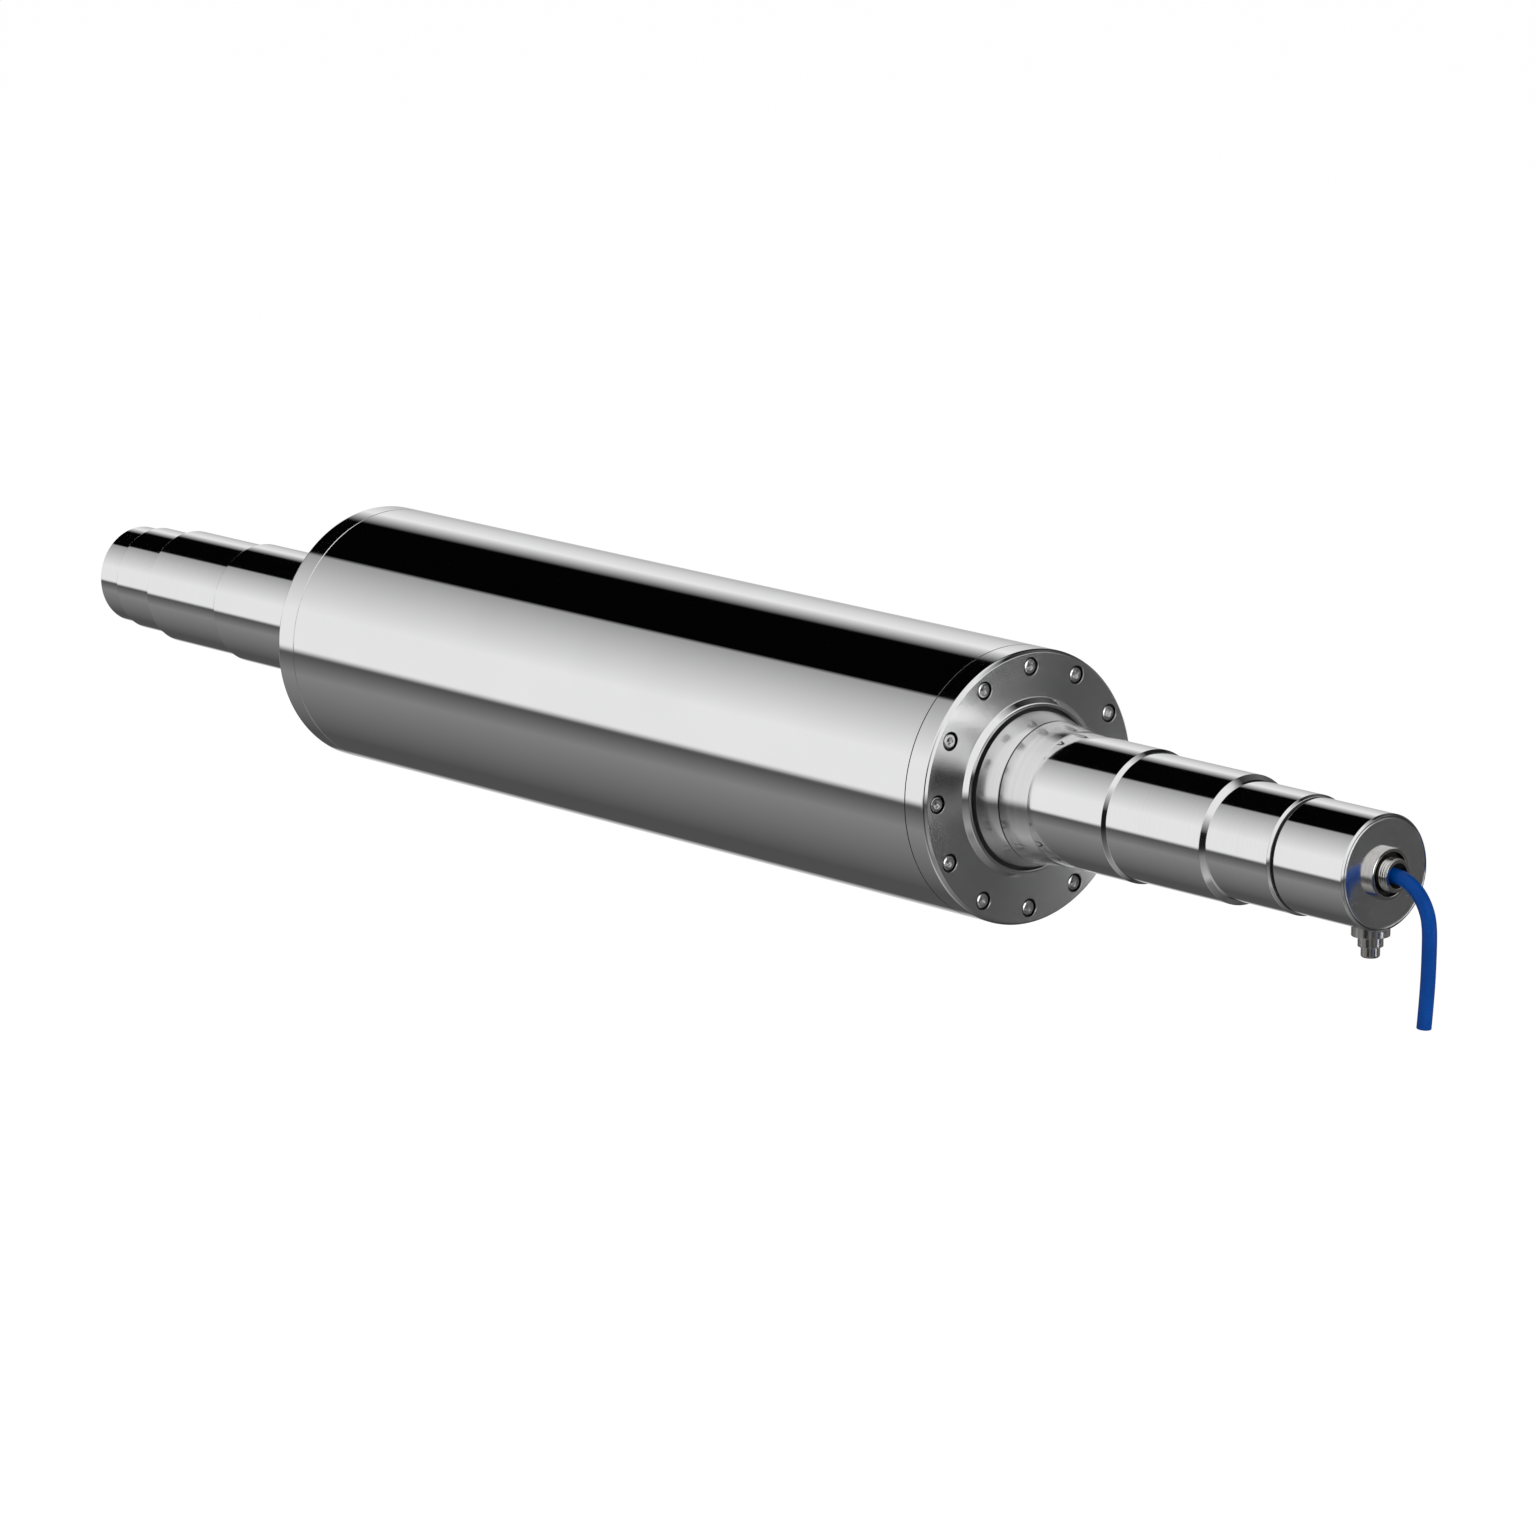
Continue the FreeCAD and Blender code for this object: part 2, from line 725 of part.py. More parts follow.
def make_rollers_and_cage():
    """Rollers of the near bearing and the cage whose windows hold them apart."""
    window = size.bearing_width - size.rib_width * 2
    length = window - size.roller_end_room * 2
    count = int(size.roller_count.number)
    roller = turned("one_roller", [
        (ZERO, ZERO),
        (ZERO, size.roller_radius),
        (length, size.roller_radius),
        (length, ZERO),
    ])
    cage = turned("bearing_cage", [
        (size.cage_end_room, size.roller_ring - size.cage_wall / 2),
        (size.cage_end_room, size.roller_ring + size.cage_wall / 2),
        (size.bearing_width - size.cage_end_room, size.roller_ring + size.cage_wall / 2),
        (size.bearing_width - size.cage_end_room, size.roller_ring - size.cage_wall / 2),
    ])
    drill_ring(cage, "cage_windows", size.roller_radius + size.cage_room, size.roller_ring,
               size.bearing_width - size.rib_width, window, count)
    keep("bearing_cage", put(cage, bearing_back))
    doc.recompute()
    place = bearing_back + size.rib_width + size.roller_end_room
    shapes = []
    for angle in ring_angles(count):
        shapes.append(placed_copy(roller.Shape, place, size.roller_ring, angle))
    group("bearing_rollers", shapes)


def make_clips():
    """Split retaining rings: one holds the bearing in the journal, the other on the shaft."""
    outer = size.bearing_outer_radius + size.clip_groove
    inner = size.shaft_seat - size.clip_groove
    opening = size.clip_opening.number
    in_journal = turned("journal_clip", [
        (ZERO, outer - size.clip_groove * 2),
        (ZERO, outer),
        (size.clip_thickness, outer),
        (size.clip_thickness, outer - size.clip_groove * 2),
    ], opening)
    on_shaft = turned("shaft_clip", [
        (ZERO, inner + size.fixed_fit),
        (ZERO, inner + size.clip_groove * 2),
        (size.clip_thickness, inner + size.clip_groove * 2),
        (size.clip_thickness, inner + size.fixed_fit),
    ], opening)
    keep("journal_clip", put(in_journal, bearing_back - size.clip_thickness, UPSIDE_DOWN))
    keep("shaft_clip", put(on_shaft, bearing_back + size.bearing_width, UPSIDE_DOWN))


core_half = shell_end - size.core_end_room
core_length = core_half * 2
core_face = core_half + size.plate_thickness
shaft_far_end = shell_end + size.shaft_overrun
shaft_near_end = head_back + size.head_back_wall + size.shaft_head_overrun
lead_turn = core_face + size.lead_turn_place


def make_shaft():
    """The inductor's stationary shaft: collar, core seat, bearing seats and a bore for the leads."""
    middle = shaft_far_end
    clip_face = shell_end - size.bearing_inset
    length = middle + shaft_near_end
    body = turned("inductor_shaft", [
        (ZERO, ZERO),
        (ZERO, size.shaft_seat),
        (size.shaft_bush_seat, size.shaft_seat),
        (size.shaft_bush_seat, size.shaft_shoulder),
        (middle - core_face - size.shaft_collar_thickness, size.shaft_shoulder),
        (middle - core_face - size.shaft_collar_thickness, size.shaft_collar_radius),
        (middle - core_face, size.shaft_collar_radius),
        (middle - core_face, size.shaft_core_seat),
        (middle + core_face + size.nut_thickness, size.shaft_core_seat),
        (middle + core_face + size.nut_thickness, size.shaft_shoulder),
        (middle + bearing_back, size.shaft_shoulder),
        (middle + bearing_back, size.shaft_seat),
        (middle + clip_face, size.shaft_seat),
        (middle + clip_face, size.shaft_seat - size.clip_groove),
        (middle + clip_face + size.clip_thickness + size.fixed_fit, size.shaft_seat - size.clip_groove),
        (middle + clip_face + size.clip_thickness + size.fixed_fit, size.shaft_seat),
        (middle + head_back, size.shaft_seat),
        (middle + head_back, size.shaft_head_radius),
        (length, size.shaft_head_radius),
        (length, size.shaft_bore),
        (middle + lead_turn - size.shaft_bore_run_out, size.shaft_bore),
        (middle + lead_turn - size.shaft_bore_run_out, ZERO),
    ])
    drill_across(body, "lead_passages", size.lead_passage, middle + lead_turn,
                 size.shaft_core_seat, count=int(size.coil_count.number))
    keep("inductor_shaft", put(body, -shaft_far_end))


def make_core():
    """Laminated core on the shaft, between two plates, with the ring nut that clamps them."""
    seat = size.shaft_core_seat + size.fixed_fit
    coils = int(size.coil_count.number)
    core = tube("laminated_core", seat, core_radius, core_length)
    keep("laminated_core", put(core, -core_half))
    far_plate = tube("far_core_plate", seat, plate_radius, size.plate_thickness)
    keep("far_core_plate", put(far_plate, -core_face))
    near_plate = tube("near_core_plate", seat, plate_radius, size.plate_thickness)
    drill_ring(near_plate, "plate_lead_holes", size.lead_passage, lead_outer_ring,
               size.plate_thickness, size.plate_thickness, coils, first=90.0)
    keep("near_core_plate", put(near_plate, core_half))
    nut = tube("core_nut", seat, size.nut_radius, size.nut_thickness)
    drill_ring(nut, "spanner_holes", size.spanner_hole, size.spanner_ring,
               size.nut_thickness, size.nut_thickness / 2, 4)
    keep("core_nut", put(nut, core_face))


def make_coils():
    """Coil former, the coils side by side along it, and the insulating discs between them."""
    former = tube("coil_former", core_radius + size.fixed_fit, former_radius, core_length)
    keep("coil_former", put(former, -core_half))
    coils = int(size.coil_count.number)
    disc = tube("one_coil_disc", former_radius + size.fixed_fit, plate_radius,
                size.disc_thickness)
    drill_ring(disc, "disc_lead_holes", size.lead_passage, lead_outer_ring,
               size.disc_thickness, size.disc_thickness, coils, first=90.0)
    length = (core_length - size.disc_thickness * (coils + 1)) / coils
    pitch = length + size.disc_thickness
    bevel = size.coil_bevel
    names = ["far_coil", "middle_coil", "near_coil"]
    for index, name in enumerate(names):
        coil = turned(name, [
            (ZERO, former_radius + size.fixed_fit),
            (ZERO, coil_radius - bevel),
            (bevel, coil_radius),
            (length - bevel, coil_radius),
            (length, coil_radius - bevel),
            (length, former_radius + size.fixed_fit),
        ])
        keep(name, put(coil, -core_half + size.disc_thickness + pitch * index))
    doc.recompute()
    shapes = []
    for index in range(coils + 1):
        shapes.append(placed_copy(disc.Shape, -core_half + pitch * index, ZERO, 0.0))
    group("coil_discs", shapes)


def path_through(points, radius_at):
    """A wire of straight runs joined by tangent arcs, one at each inner point."""
    edges = []
    start = points[0]
    for index in range(1, len(points) - 1):
        before, corner, after = points[index - 1:index + 2]
        back = (before - corner).normalize()
        ahead = (after - corner).normalize()
        half_turn = (math.pi - back.getAngle(ahead)) / 2
        reach = radius_at(index) * math.tan(half_turn)
        arc_start = corner + back * reach
        arc_end = corner + ahead * reach
        to_middle = (back + ahead).normalize()
        inset = radius_at(index) / math.cos(half_turn) - radius_at(index)
        edges.append(Part.LineSegment(start, arc_start).toShape())
        edges.append(Part.Arc(arc_start, corner + to_middle * inset, arc_end).toShape())
        start = arc_end
    edges.append(Part.LineSegment(start, points[-1]).toShape())
    return Part.Wire(edges)


def bar_along(path, radius):
    """A round bar along a wire, and how far its volume is from section times length.

    Each straight run is a cylinder, and each bend is its end disc turned about the arc's centre.
    """
    pieces = []
    for edge in path.OrderedEdges:
        start = edge.valueAt(edge.FirstParameter)
        ahead = edge.tangentAt(edge.FirstParameter)
        if isinstance(edge.Curve, Part.Line):
            pieces.append(Part.makeCylinder(radius, edge.Length, start, ahead))
        else:
            ring = Part.Wire([Part.Circle(start, ahead, radius).toShape()])
            turn = math.degrees(edge.Length / edge.Curve.Radius)
            pieces.append(Part.Face(ring).revolve(edge.Curve.Center, edge.Curve.Axis, turn))
    bar = pieces[0].multiFuse(pieces[1:]).removeSplitter()
    expected = math.pi * radius ** 2 * path.Length
    return bar.Solids[0], bar.Volume / expected - 1


def make_coil_leads():
    """Insulated leads from the coils, in through the shaft's wall and along its bore."""
    coils = int(size.coil_count.number)
    inner = size.lead_ring.number
    outer = lead_outer_ring.number
    turn = (lead_turn - origin).number
    start = (core_half - size.disc_thickness - origin).number
    end = (shaft_near_end - origin).number
    shapes = []
    for angle in ring_angles(coils, 90.0):
        spin = Rotation(Vector(1, 0, 0), angle)
        route = [(start, outer), (turn, outer), (turn, inner), (end, inner)]
        points = [spin.multVec(Vector(along, radius, 0)) for along, radius in route]
        path = path_through(points, lambda index: size.lead_bend.number)
        solid, error = bar_along(path, size.lead_radius.number)
        print(f"coil lead: volume off by {error:.2e}")
        shapes.append(solid)
    group("coil_leads", shapes)


def make_terminal_block():
    """Ceramic terminal block on the shaft's near end, inside the head."""
    block = turned("terminal_block", [
        (ZERO, ZERO),
        (ZERO, size.terminal_block_radius),
        (size.terminal_block_length, size.terminal_block_radius),
        (size.terminal_block_length, ZERO),
    ])
    keep("terminal_block", put(block, shaft_near_end))


def make_head():
    """Stationary head: a cup clamped on the shaft's end by a nut, and its flush end cover."""
    recess = size.head_back_wall / 2
    length = size.head_length
    bevel = size.head_bevel
    cavity = size.head_radius - size.head_wall
    mouth = size.cover_radius + size.fixed_fit
    body = turned("head_housing", [
        (ZERO, size.shaft_head_radius + size.fixed_fit),
        (ZERO, size.signal_inner),
        (recess, size.signal_inner),
        (recess, size.signal_outer + size.fixed_fit),
        (ZERO, size.signal_outer + size.fixed_fit),
        (ZERO, size.head_radius - bevel),
        (bevel, size.head_radius),
        (length - bevel, size.head_radius),
        (length, size.head_radius - bevel),
        (length, mouth),
        (length - size.cover_thickness, mouth),
        (length - size.cover_thickness, cavity),
        (size.head_back_wall, cavity),
        (size.head_back_wall, size.shaft_head_radius + size.fixed_fit),
    ])
    drill_across(body, "socket_hole", size.socket_stem_radius + size.fixed_fit,
                 length - size.socket_place, size.head_radius + bevel, up=False)
    keep("head_housing", put(body, head_back))
    nut = tube("head_nut", size.shaft_head_radius + size.fixed_fit, size.head_nut_radius,
               size.head_nut_thickness)
    keep("head_nut", put(nut, head_back + size.head_back_wall))
    cover = turned("end_cover", [
        (ZERO, size.gland_shank_radius + size.fixed_fit),
        (ZERO, size.cover_radius),
        (size.cover_thickness - bevel, size.cover_radius),
        (size.cover_thickness, size.cover_radius - bevel),
        (size.cover_thickness, size.gland_shank_radius + size.fixed_fit),
    ])
    keep("end_cover", put(cover, head_front - size.cover_thickness))


def make_signal_rings():
    """Two rings that pass the sensors' signal across the gap, one turning and one still."""
    inner = size.signal_inner + size.fixed_fit
    turning = tube("signal_rotor_ring", inner, size.signal_outer, size.signal_depth)
    keep("signal_rotor_ring", put(turning, near_end - size.signal_depth))
    reach = size.head_gap - size.signal_room + size.head_back_wall / 2
    still = tube("signal_stator_ring", inner, size.signal_outer, reach)
    keep("signal_stator_ring", put(still, near_end + size.signal_room))


def make_gland():
    """Cable gland: hexagon body through the cover, its nut inside, rubber seal and clamp ring."""
    barrel_end = size.gland_hex_thickness + size.gland_barrel_length
    seat = barrel_end - size.gland_seat_depth
    seal_end = seat + size.gland_seal_length
    bore = size.gland_seat_bore
    body = turned("gland_body", [
        (-size.gland_shank_length, size.gland_shank_bore),
        (-size.gland_shank_length, size.gland_shank_radius),
        (ZERO, size.gland_shank_radius),
        (ZERO, size.gland_barrel_radius),
        (barrel_end, size.gland_barrel_radius),
        (barrel_end, bore),
        (seat, bore),
        (seat, size.gland_shank_bore),
    ])
    add_hexagon(body, "gland_hexagon", size.gland_flats, bore, ZERO, size.gland_hex_thickness,
                -size.gland_turn.number)
    face = size.gland_hex_thickness
    over = face + size.gland_lip
    outside = size.gland_flats / ROOT_THREE + size.gland_lip
    turn_away(body, "gland_hexagon_bevel", [
        (face, size.gland_flats / 2),
        (over, size.gland_flats / 2),
        (over, outside),
        (face - size.gland_recess_depth / 2, outside),
    ])
    turn_away(body, "gland_recess", [
        (over, size.gland_barrel_radius),
        (over, size.gland_recess_radius),
        (face - size.gland_recess_depth, size.gland_recess_radius),
        (face - size.gland_recess_depth, size.gland_barrel_radius),
    ])
    keep("gland_body", put(body, head_front))
    seal = tube("gland_seal", size.cable_radius + size.fixed_fit, bore - size.fixed_fit,
                size.gland_seal_length)
    keep("gland_seal", put(seal, head_front + seat))
    clamp = turned("gland_clamp_ring", [
        (seal_end, size.gland_mouth),
        (seal_end, bore - size.fixed_fit),
        (barrel_end, bore - size.fixed_fit),
        (barrel_end, size.gland_lip_radius),
        (barrel_end + size.gland_lip, size.gland_lip_radius),
        (barrel_end + size.gland_lip, size.gland_mouth),
    ])
    keep("gland_clamp_ring", put(clamp, head_front))
    nut = doc.addObject("PartDesign::Body", "gland_nut")
    add_hexagon(nut, "gland_nut_hexagon", size.gland_nut_flats,
                size.gland_shank_radius + size.fixed_fit, ZERO, size.gland_nut_thickness)
    keep("gland_nut", put(nut, head_front - size.cover_thickness - size.gland_nut_thickness))


seal_face = (head_front + size.gland_hex_thickness + size.gland_barrel_length
             - size.gland_seat_depth + size.gland_seal_length)


def make_cable():
    """Supply cable: a straight tail inside the head and the free end that hangs from the gland."""
    tail_start = shaft_near_end + size.terminal_block_length
    tail_length = seal_face - tail_start
    tail = turned("supply_cable_tail", [
        (ZERO, ZERO),
        (ZERO, size.cable_radius),
        (tail_length, size.cable_radius),
        (tail_length, ZERO),
    ])
    keep("supply_cable_tail", put(tail, tail_start))
    exit_place = (seal_face - origin).number
    route = [(0, 0), (17, 0), (32.7, -6.5), (44.7, -18.5), (51.2, -34.2), (51.3, -61.5),
             (50, -94), (46.7, -126)]
    points = [Vector(exit_place + along, 0, height) for along, height in route]

    def bend_radius(index):
        """0.45 of the shorter run beside a point, over the tangent of half its turn."""
        before = points[index - 1] - points[index]
        after = points[index + 1] - points[index]
        half_turn = (math.pi - before.getAngle(after)) / 2
        return 0.45 * min(before.Length, after.Length) / math.tan(half_turn)

    path = path_through(points, bend_radius)
    radii = [round(bend_radius(index), 1) for index in range(1, len(points) - 1)]
    solid, error = bar_along(path, size.cable_radius.number)
    print(f"supply cable: length {path.Length:.1f}, radii {radii}, volume off by {error:.2e}")
    cable = doc.addObject("Part::Feature", "supply_cable")
    cable.Shape = solid
    keep("supply_cable", cable)


def make_sensor_socket():
    """Small socket under the head: a saddle base with a stem, a coupling ring and a cap."""
    base_top = size.head_radius - size.socket_base_rise
    base_end = size.head_radius + size.socket_base_drop
    stem_top = size.head_radius - size.socket_stem_rise
    ring_end = base_end + size.socket_ring_height
    cap_end = ring_end + size.socket_cap_height
    core_end = cap_end - size.socket_cap_floor
    core_bore = size.socket_core_radius + size.fixed_fit
    place = head_front - size.socket_place
    blank = turned("socket_blank", [
        (stem_top, ZERO),
        (stem_top, size.socket_stem_radius),
        (base_top, size.socket_stem_radius),
        (base_top, size.socket_base_radius),
        (base_end, size.socket_base_radius),
        (base_end, size.socket_core_radius),
        (core_end, size.socket_core_radius),
        (core_end, ZERO),
    ])
    put(blank, place, DOWN)
    outside = tube("socket_saddle", size.socket_stem_radius, size.socket_base_radius * 2, base_end)
    put(outside, place, DOWN)
    round_head = doc.addObject("Part::Cylinder", "head_round")
    round_head.Placement = FreeCAD.Placement(Vector(), Rotation(Vector(0, 1, 0), 90))
    round_head.setExpression("Placement.Base.x", (head_back - origin).formula)
    round_head.setExpression("Radius", (size.head_radius + size.fixed_fit).formula)
    round_head.setExpression("Height", (size.head_length * 2).formula)
    saddle = doc.addObject("Part::Common", "saddle_tool")
    saddle.Base = outside
    saddle.Tool = round_head
    base = doc.addObject("Part::Cut", "sensor_socket_base")
    base.Base = blank
    base.Tool = saddle
    keep("sensor_socket_base", base)
    ring = turned("sensor_socket_ring", [
        (base_end, core_bore),
        (base_end, size.socket_ring_radius),
        (ring_end, size.socket_ring_radius),
        (ring_end, core_bore),
    ])
    keep("sensor_socket_ring", put(ring, place, DOWN))
    cap = turned("sensor_socket_cap", [
        (ring_end, core_bore),
        (ring_end, size.socket_cap_radius),
        (cap_end - size.socket_cap_floor, size.socket_cap_radius),
        (cap_end, size.socket_cap_radius - size.socket_cap_floor),
        (cap_end, ZERO),
        (core_end, ZERO),
        (core_end, core_bore),
    ])
    keep("sensor_socket_cap", put(cap, place, DOWN))


def check_model():
    """Stop if an object failed, a shape is bad, or a cut took nothing away."""
    cuts = ("PartDesign::Pocket", "PartDesign::Groove", "PartDesign::PolarPattern")
    for item in doc.Objects:
        failed = [state for state in item.State if state in ("Invalid", "Error")]
        if failed:
            raise RuntimeError(f"{item.Label} is {failed}")
        if item.TypeId in cuts:
            if item.Shape.Volume >= item.BaseFeature.Shape.Volume:
                raise RuntimeError(f"{item.Label} cuts nothing")
    for label, item in parts.items():
        if item.Shape.isNull() or not item.Shape.isValid():
            raise RuntimeError(f"{label} has a bad shape")


def write_parts():
    """Write each sub-part to its own file."""
    os.makedirs("parts", exist_ok=True)
    for label, item in parts.items():
        item.Shape.exportStep(f"parts/{label}.step")
        print(f"{label}: {len(item.Shape.Solids)} solid(s), {item.Shape.Volume / 1000:.1f} cm3")


make_shell()
make_jacket_plugs()
make_temperature_sensors()
make_flange("near_flange", shell_end, AHEAD)
make_flange("far_flange", -shell_end, BACK)
make_flange_screws()
make_insulating_ring("near_insulating_ring", shell_end, AHEAD)
make_insulating_ring("far_insulating_ring", -shell_end, BACK)
make_near_journal()
make_far_journal()
make_far_bush()
make_bearing_rings()
make_rollers_and_cage()
make_clips()
make_shaft()
make_core()
make_coils()
make_coil_leads()
make_terminal_block()
make_head()
make_signal_rings()
make_gland()
make_cable()
make_sensor_socket()
doc.recompute()
check_model()
write_parts()
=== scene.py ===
# %% [markdown]
# # An induction heating roller
# The roller is nearly all lathe work: a mirror-bright shell, two bolted flanges, stepped journals and a
# small head that stands still while the rest turns round it. Each visible piece is computed here as a
# surface of revolution in numpy, with the bevels and rounded edges that catch the light. The pieces inside
# keep the solids of the frame and only get their finishes.

import json
import math

import bpy
import numpy as np
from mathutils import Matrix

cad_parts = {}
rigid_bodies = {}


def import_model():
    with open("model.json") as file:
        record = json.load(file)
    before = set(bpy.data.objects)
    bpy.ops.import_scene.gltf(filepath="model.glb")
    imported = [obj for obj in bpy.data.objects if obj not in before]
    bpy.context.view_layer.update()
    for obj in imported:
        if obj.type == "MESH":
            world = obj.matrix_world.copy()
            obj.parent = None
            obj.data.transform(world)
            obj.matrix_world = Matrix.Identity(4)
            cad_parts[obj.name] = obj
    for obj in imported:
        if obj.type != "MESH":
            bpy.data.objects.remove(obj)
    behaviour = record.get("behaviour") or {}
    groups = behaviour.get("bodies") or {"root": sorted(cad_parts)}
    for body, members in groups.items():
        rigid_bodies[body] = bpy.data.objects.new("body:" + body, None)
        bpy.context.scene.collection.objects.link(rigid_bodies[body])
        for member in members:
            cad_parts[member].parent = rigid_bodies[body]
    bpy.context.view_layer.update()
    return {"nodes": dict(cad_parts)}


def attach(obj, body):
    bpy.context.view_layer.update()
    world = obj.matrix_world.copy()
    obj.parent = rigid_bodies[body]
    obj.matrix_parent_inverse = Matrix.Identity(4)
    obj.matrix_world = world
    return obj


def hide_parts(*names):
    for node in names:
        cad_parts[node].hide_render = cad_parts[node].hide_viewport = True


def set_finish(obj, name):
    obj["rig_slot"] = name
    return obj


for leftover in list(bpy.data.objects):
    bpy.data.objects.remove(leftover)
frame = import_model()

# %% [markdown]
# ## The camera
# The photograph was taken from the head's end, a little above the axis, with a long lens that hardly
# narrows the far end. Where it stood was worked out from the ends of the shell and the journals.

# %% The camera
camera = bpy.data.objects.new("photo_camera", bpy.data.cameras.new("photo_camera"))
bpy.context.collection.objects.link(camera)
camera.location = (4.3328, -4.3324, 1.3958)
camera.rotation_euler = (math.radians(90 - 12.123), 0, math.radians(49.634))
camera.data.lens = 172.73
camera.data.sensor_width = 36
camera.data.clip_end = 300
bpy.context.scene.camera = camera
bpy.context.scene.view_settings.view_transform = "Standard"
print("camera", tuple(round(value, 3) for value in camera.location), "lens", camera.data.lens)

# %% [markdown]
# ## The supply cable
# A 13 mm cable leaves the gland straight, bends down under its own weight and ends cut square. A mesh
# tube could follow the same line, but a NURBS curve with a round bevel stays smooth with only eight
# points, which are the points that the solid follows.

# %% The supply cable, from the gland's seal to its cut end
CABLE_EXIT = (0.0445, 0, 0)
CABLE_RADIUS = 0.0065
CABLE_ROUTE = [(0, 0), (0.017, 0), (0.0327, -0.0065), (0.0447, -0.0185), (0.0512, -0.0342),
               (0.0513, -0.0615), (0.050, -0.094), (0.0467, -0.126)]
curve = bpy.data.curves.new("blue_cable", "CURVE")
curve.dimensions = "3D"
curve.bevel_depth = 1.0
curve.bevel_resolution = 10
curve.use_fill_caps = True
spline = curve.splines.new("NURBS")
spline.points.add(len(CABLE_ROUTE) - 1)
for point, (along, height) in zip(spline.points, CABLE_ROUTE):
    point.co = (CABLE_EXIT[0] + along, 0, height, 1)
    point.radius = CABLE_RADIUS
spline.order_u = 3
spline.use_endpoint_u = True
spline.resolution_u = 24
cable = bpy.data.objects.new("blue_cable", curve)
bpy.context.collection.objects.link(cable)
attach(cable, "stator")
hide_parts("supply_cable")
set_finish(cable, "cable_blue")
print(f"cable: {spline.calc_length() * 1000:.0f} mm along its line")

# %% [markdown]
# ## Outlines with rounded corners
# A turned part is an outline carried round an axis. A real edge is never perfectly sharp: it is broken by
# a small bevel or radius, and that narrow band shows as a bright or dark line. Bevel modifiers could make
# it, but a mirror shows every error in the normals, so each point here carries the exact normal of the
# outline at that place.

# %% Rounded outlines
CORNER_POINTS = 5


def rounded(outline, easing=0.3):
    """Points and outward normals of a closed outline whose corners are rounded, (corners, 5, 2) each.

    With A and B the places 'easing' millimetres before and after a corner C, or 0.4 of the shorter side
    away, the corner becomes (1-s)^2 A + 2 s (1-s) C + s^2 B for s from 0 to 1. The slope is
    (1-s) (C-A) + s (B-C), and the normal stands across it, away from the outline's inside.
    """
    corner = np.array(outline, float)
    before = np.roll(corner, 1, axis=0) - corner
    after = np.roll(corner, -1, axis=0) - corner
    before_length = np.linalg.norm(before, axis=1)
    after_length = np.linalg.norm(after, axis=1)
    reach = np.minimum(easing, 0.4 * np.minimum(before_length, after_length))
    start = before / before_length[:, None] * reach[:, None]
    end = after / after_length[:, None] * reach[:, None]
    share = np.linspace(0, 1, CORNER_POINTS)[None, :, None]
    points = corner[:, None] + (1 - share) ** 2 * start[:, None] + share ** 2 * end[:, None]
    slope = -(1 - share) * start[:, None] + share * end[:, None]
    slope /= np.linalg.norm(slope, axis=2, keepdims=True)
    following = np.roll(corner, -1, axis=0)
    area = np.sum(corner[:, 0] * following[:, 1] - corner[:, 1] * following[:, 0])
    return points, np.stack([slope[..., 1], -slope[..., 0]], axis=-1) * np.sign(area)


def strip(corners):
    """One run of points from some corners of a rounded outline, with its normals."""
    points, normals = corners
    return points.reshape(-1, 2), normals.reshape(-1, 2)


def closed_strip(corners):
    """The whole outline as one run that ends where it starts."""
    points, normals = strip(corners)
    return np.concatenate([points, points[:1]]), np.concatenate([normals, normals[:1]])


square = rounded([(0, 0), (2, 0), (2, 1), (0, 1)])
print("a square's rounded outline has", len(strip(square)[0]), "points")

# %% [markdown]
# ## From an outline to a surface
# The outline's two numbers are the place along the axis and the distance from it. Carried round, they
# give a grid of points, and neighbouring grid points make the faces. Far pieces are the same grids looking
# the other way.

# %% Carrying an outline round the axis
STEPS = 240
SHELL_MIDDLE = -880.5
SHELL_END = 450.0


def turns(steps=STEPS):
    """Angles from 0 to a full turn in equal steps, the last one written as 0 again."""
    return 2 * np.pi * (np.arange(steps + 1) % steps) / steps


def carried_round(run, steps=STEPS):
    """Grids of points and normals: (x, r) becomes (x, r cos t, r sin t) for every angle t."""
    angles = turns(steps)
    points, normals = run

    def spread(pairs):
        along = np.broadcast_to(pairs[:, :1], (len(pairs), len(angles)))
        return np.stack([along, pairs[:, 1:] * np.cos(angles), pairs[:, 1:] * np.sin(angles)], axis=-1)

    return spread(points), spread(normals)


def put(patch, start, ahead=1):
    """A patch moved to x = start + ahead * x, and so turned to look back where ahead is -1."""
    points, normals = patch
    facing = np.array([ahead, 1, 1])
    return points * facing + np.array([start, 0, 0]), normals * facing


print("one turn is", STEPS, "steps of", 360 / STEPS, "degrees")

# %% [markdown]
# ## From grids to a mesh
# Several patches are joined into one closed mesh. Points that meet are made one, a side that has shrunk
# to a point is dropped, and a face that looks against its normals is turned over. The volume under the
# surface is worked out as a check: it is positive only where the faces look outwards.

# %% Building a mesh from patches
def loops_of(patches):
    """Corner points and corner normals of every quad in some patches, as (faces, 4, 3) arrays."""
    corners, slants = [], []
    for points, normals in patches:
        rows, columns = points.shape[:2]
        index = np.arange(rows * columns).reshape(rows, columns)
        quads = np.stack([index[:-1, :-1], index[1:, :-1], index[1:, 1:], index[:-1, 1:]], axis=-1)
        corners.append(points.reshape(-1, 3)[quads.reshape(-1, 4)])
        slants.append(normals.reshape(-1, 3)[quads.reshape(-1, 4)])
    return np.concatenate(corners), np.concatenate(slants)


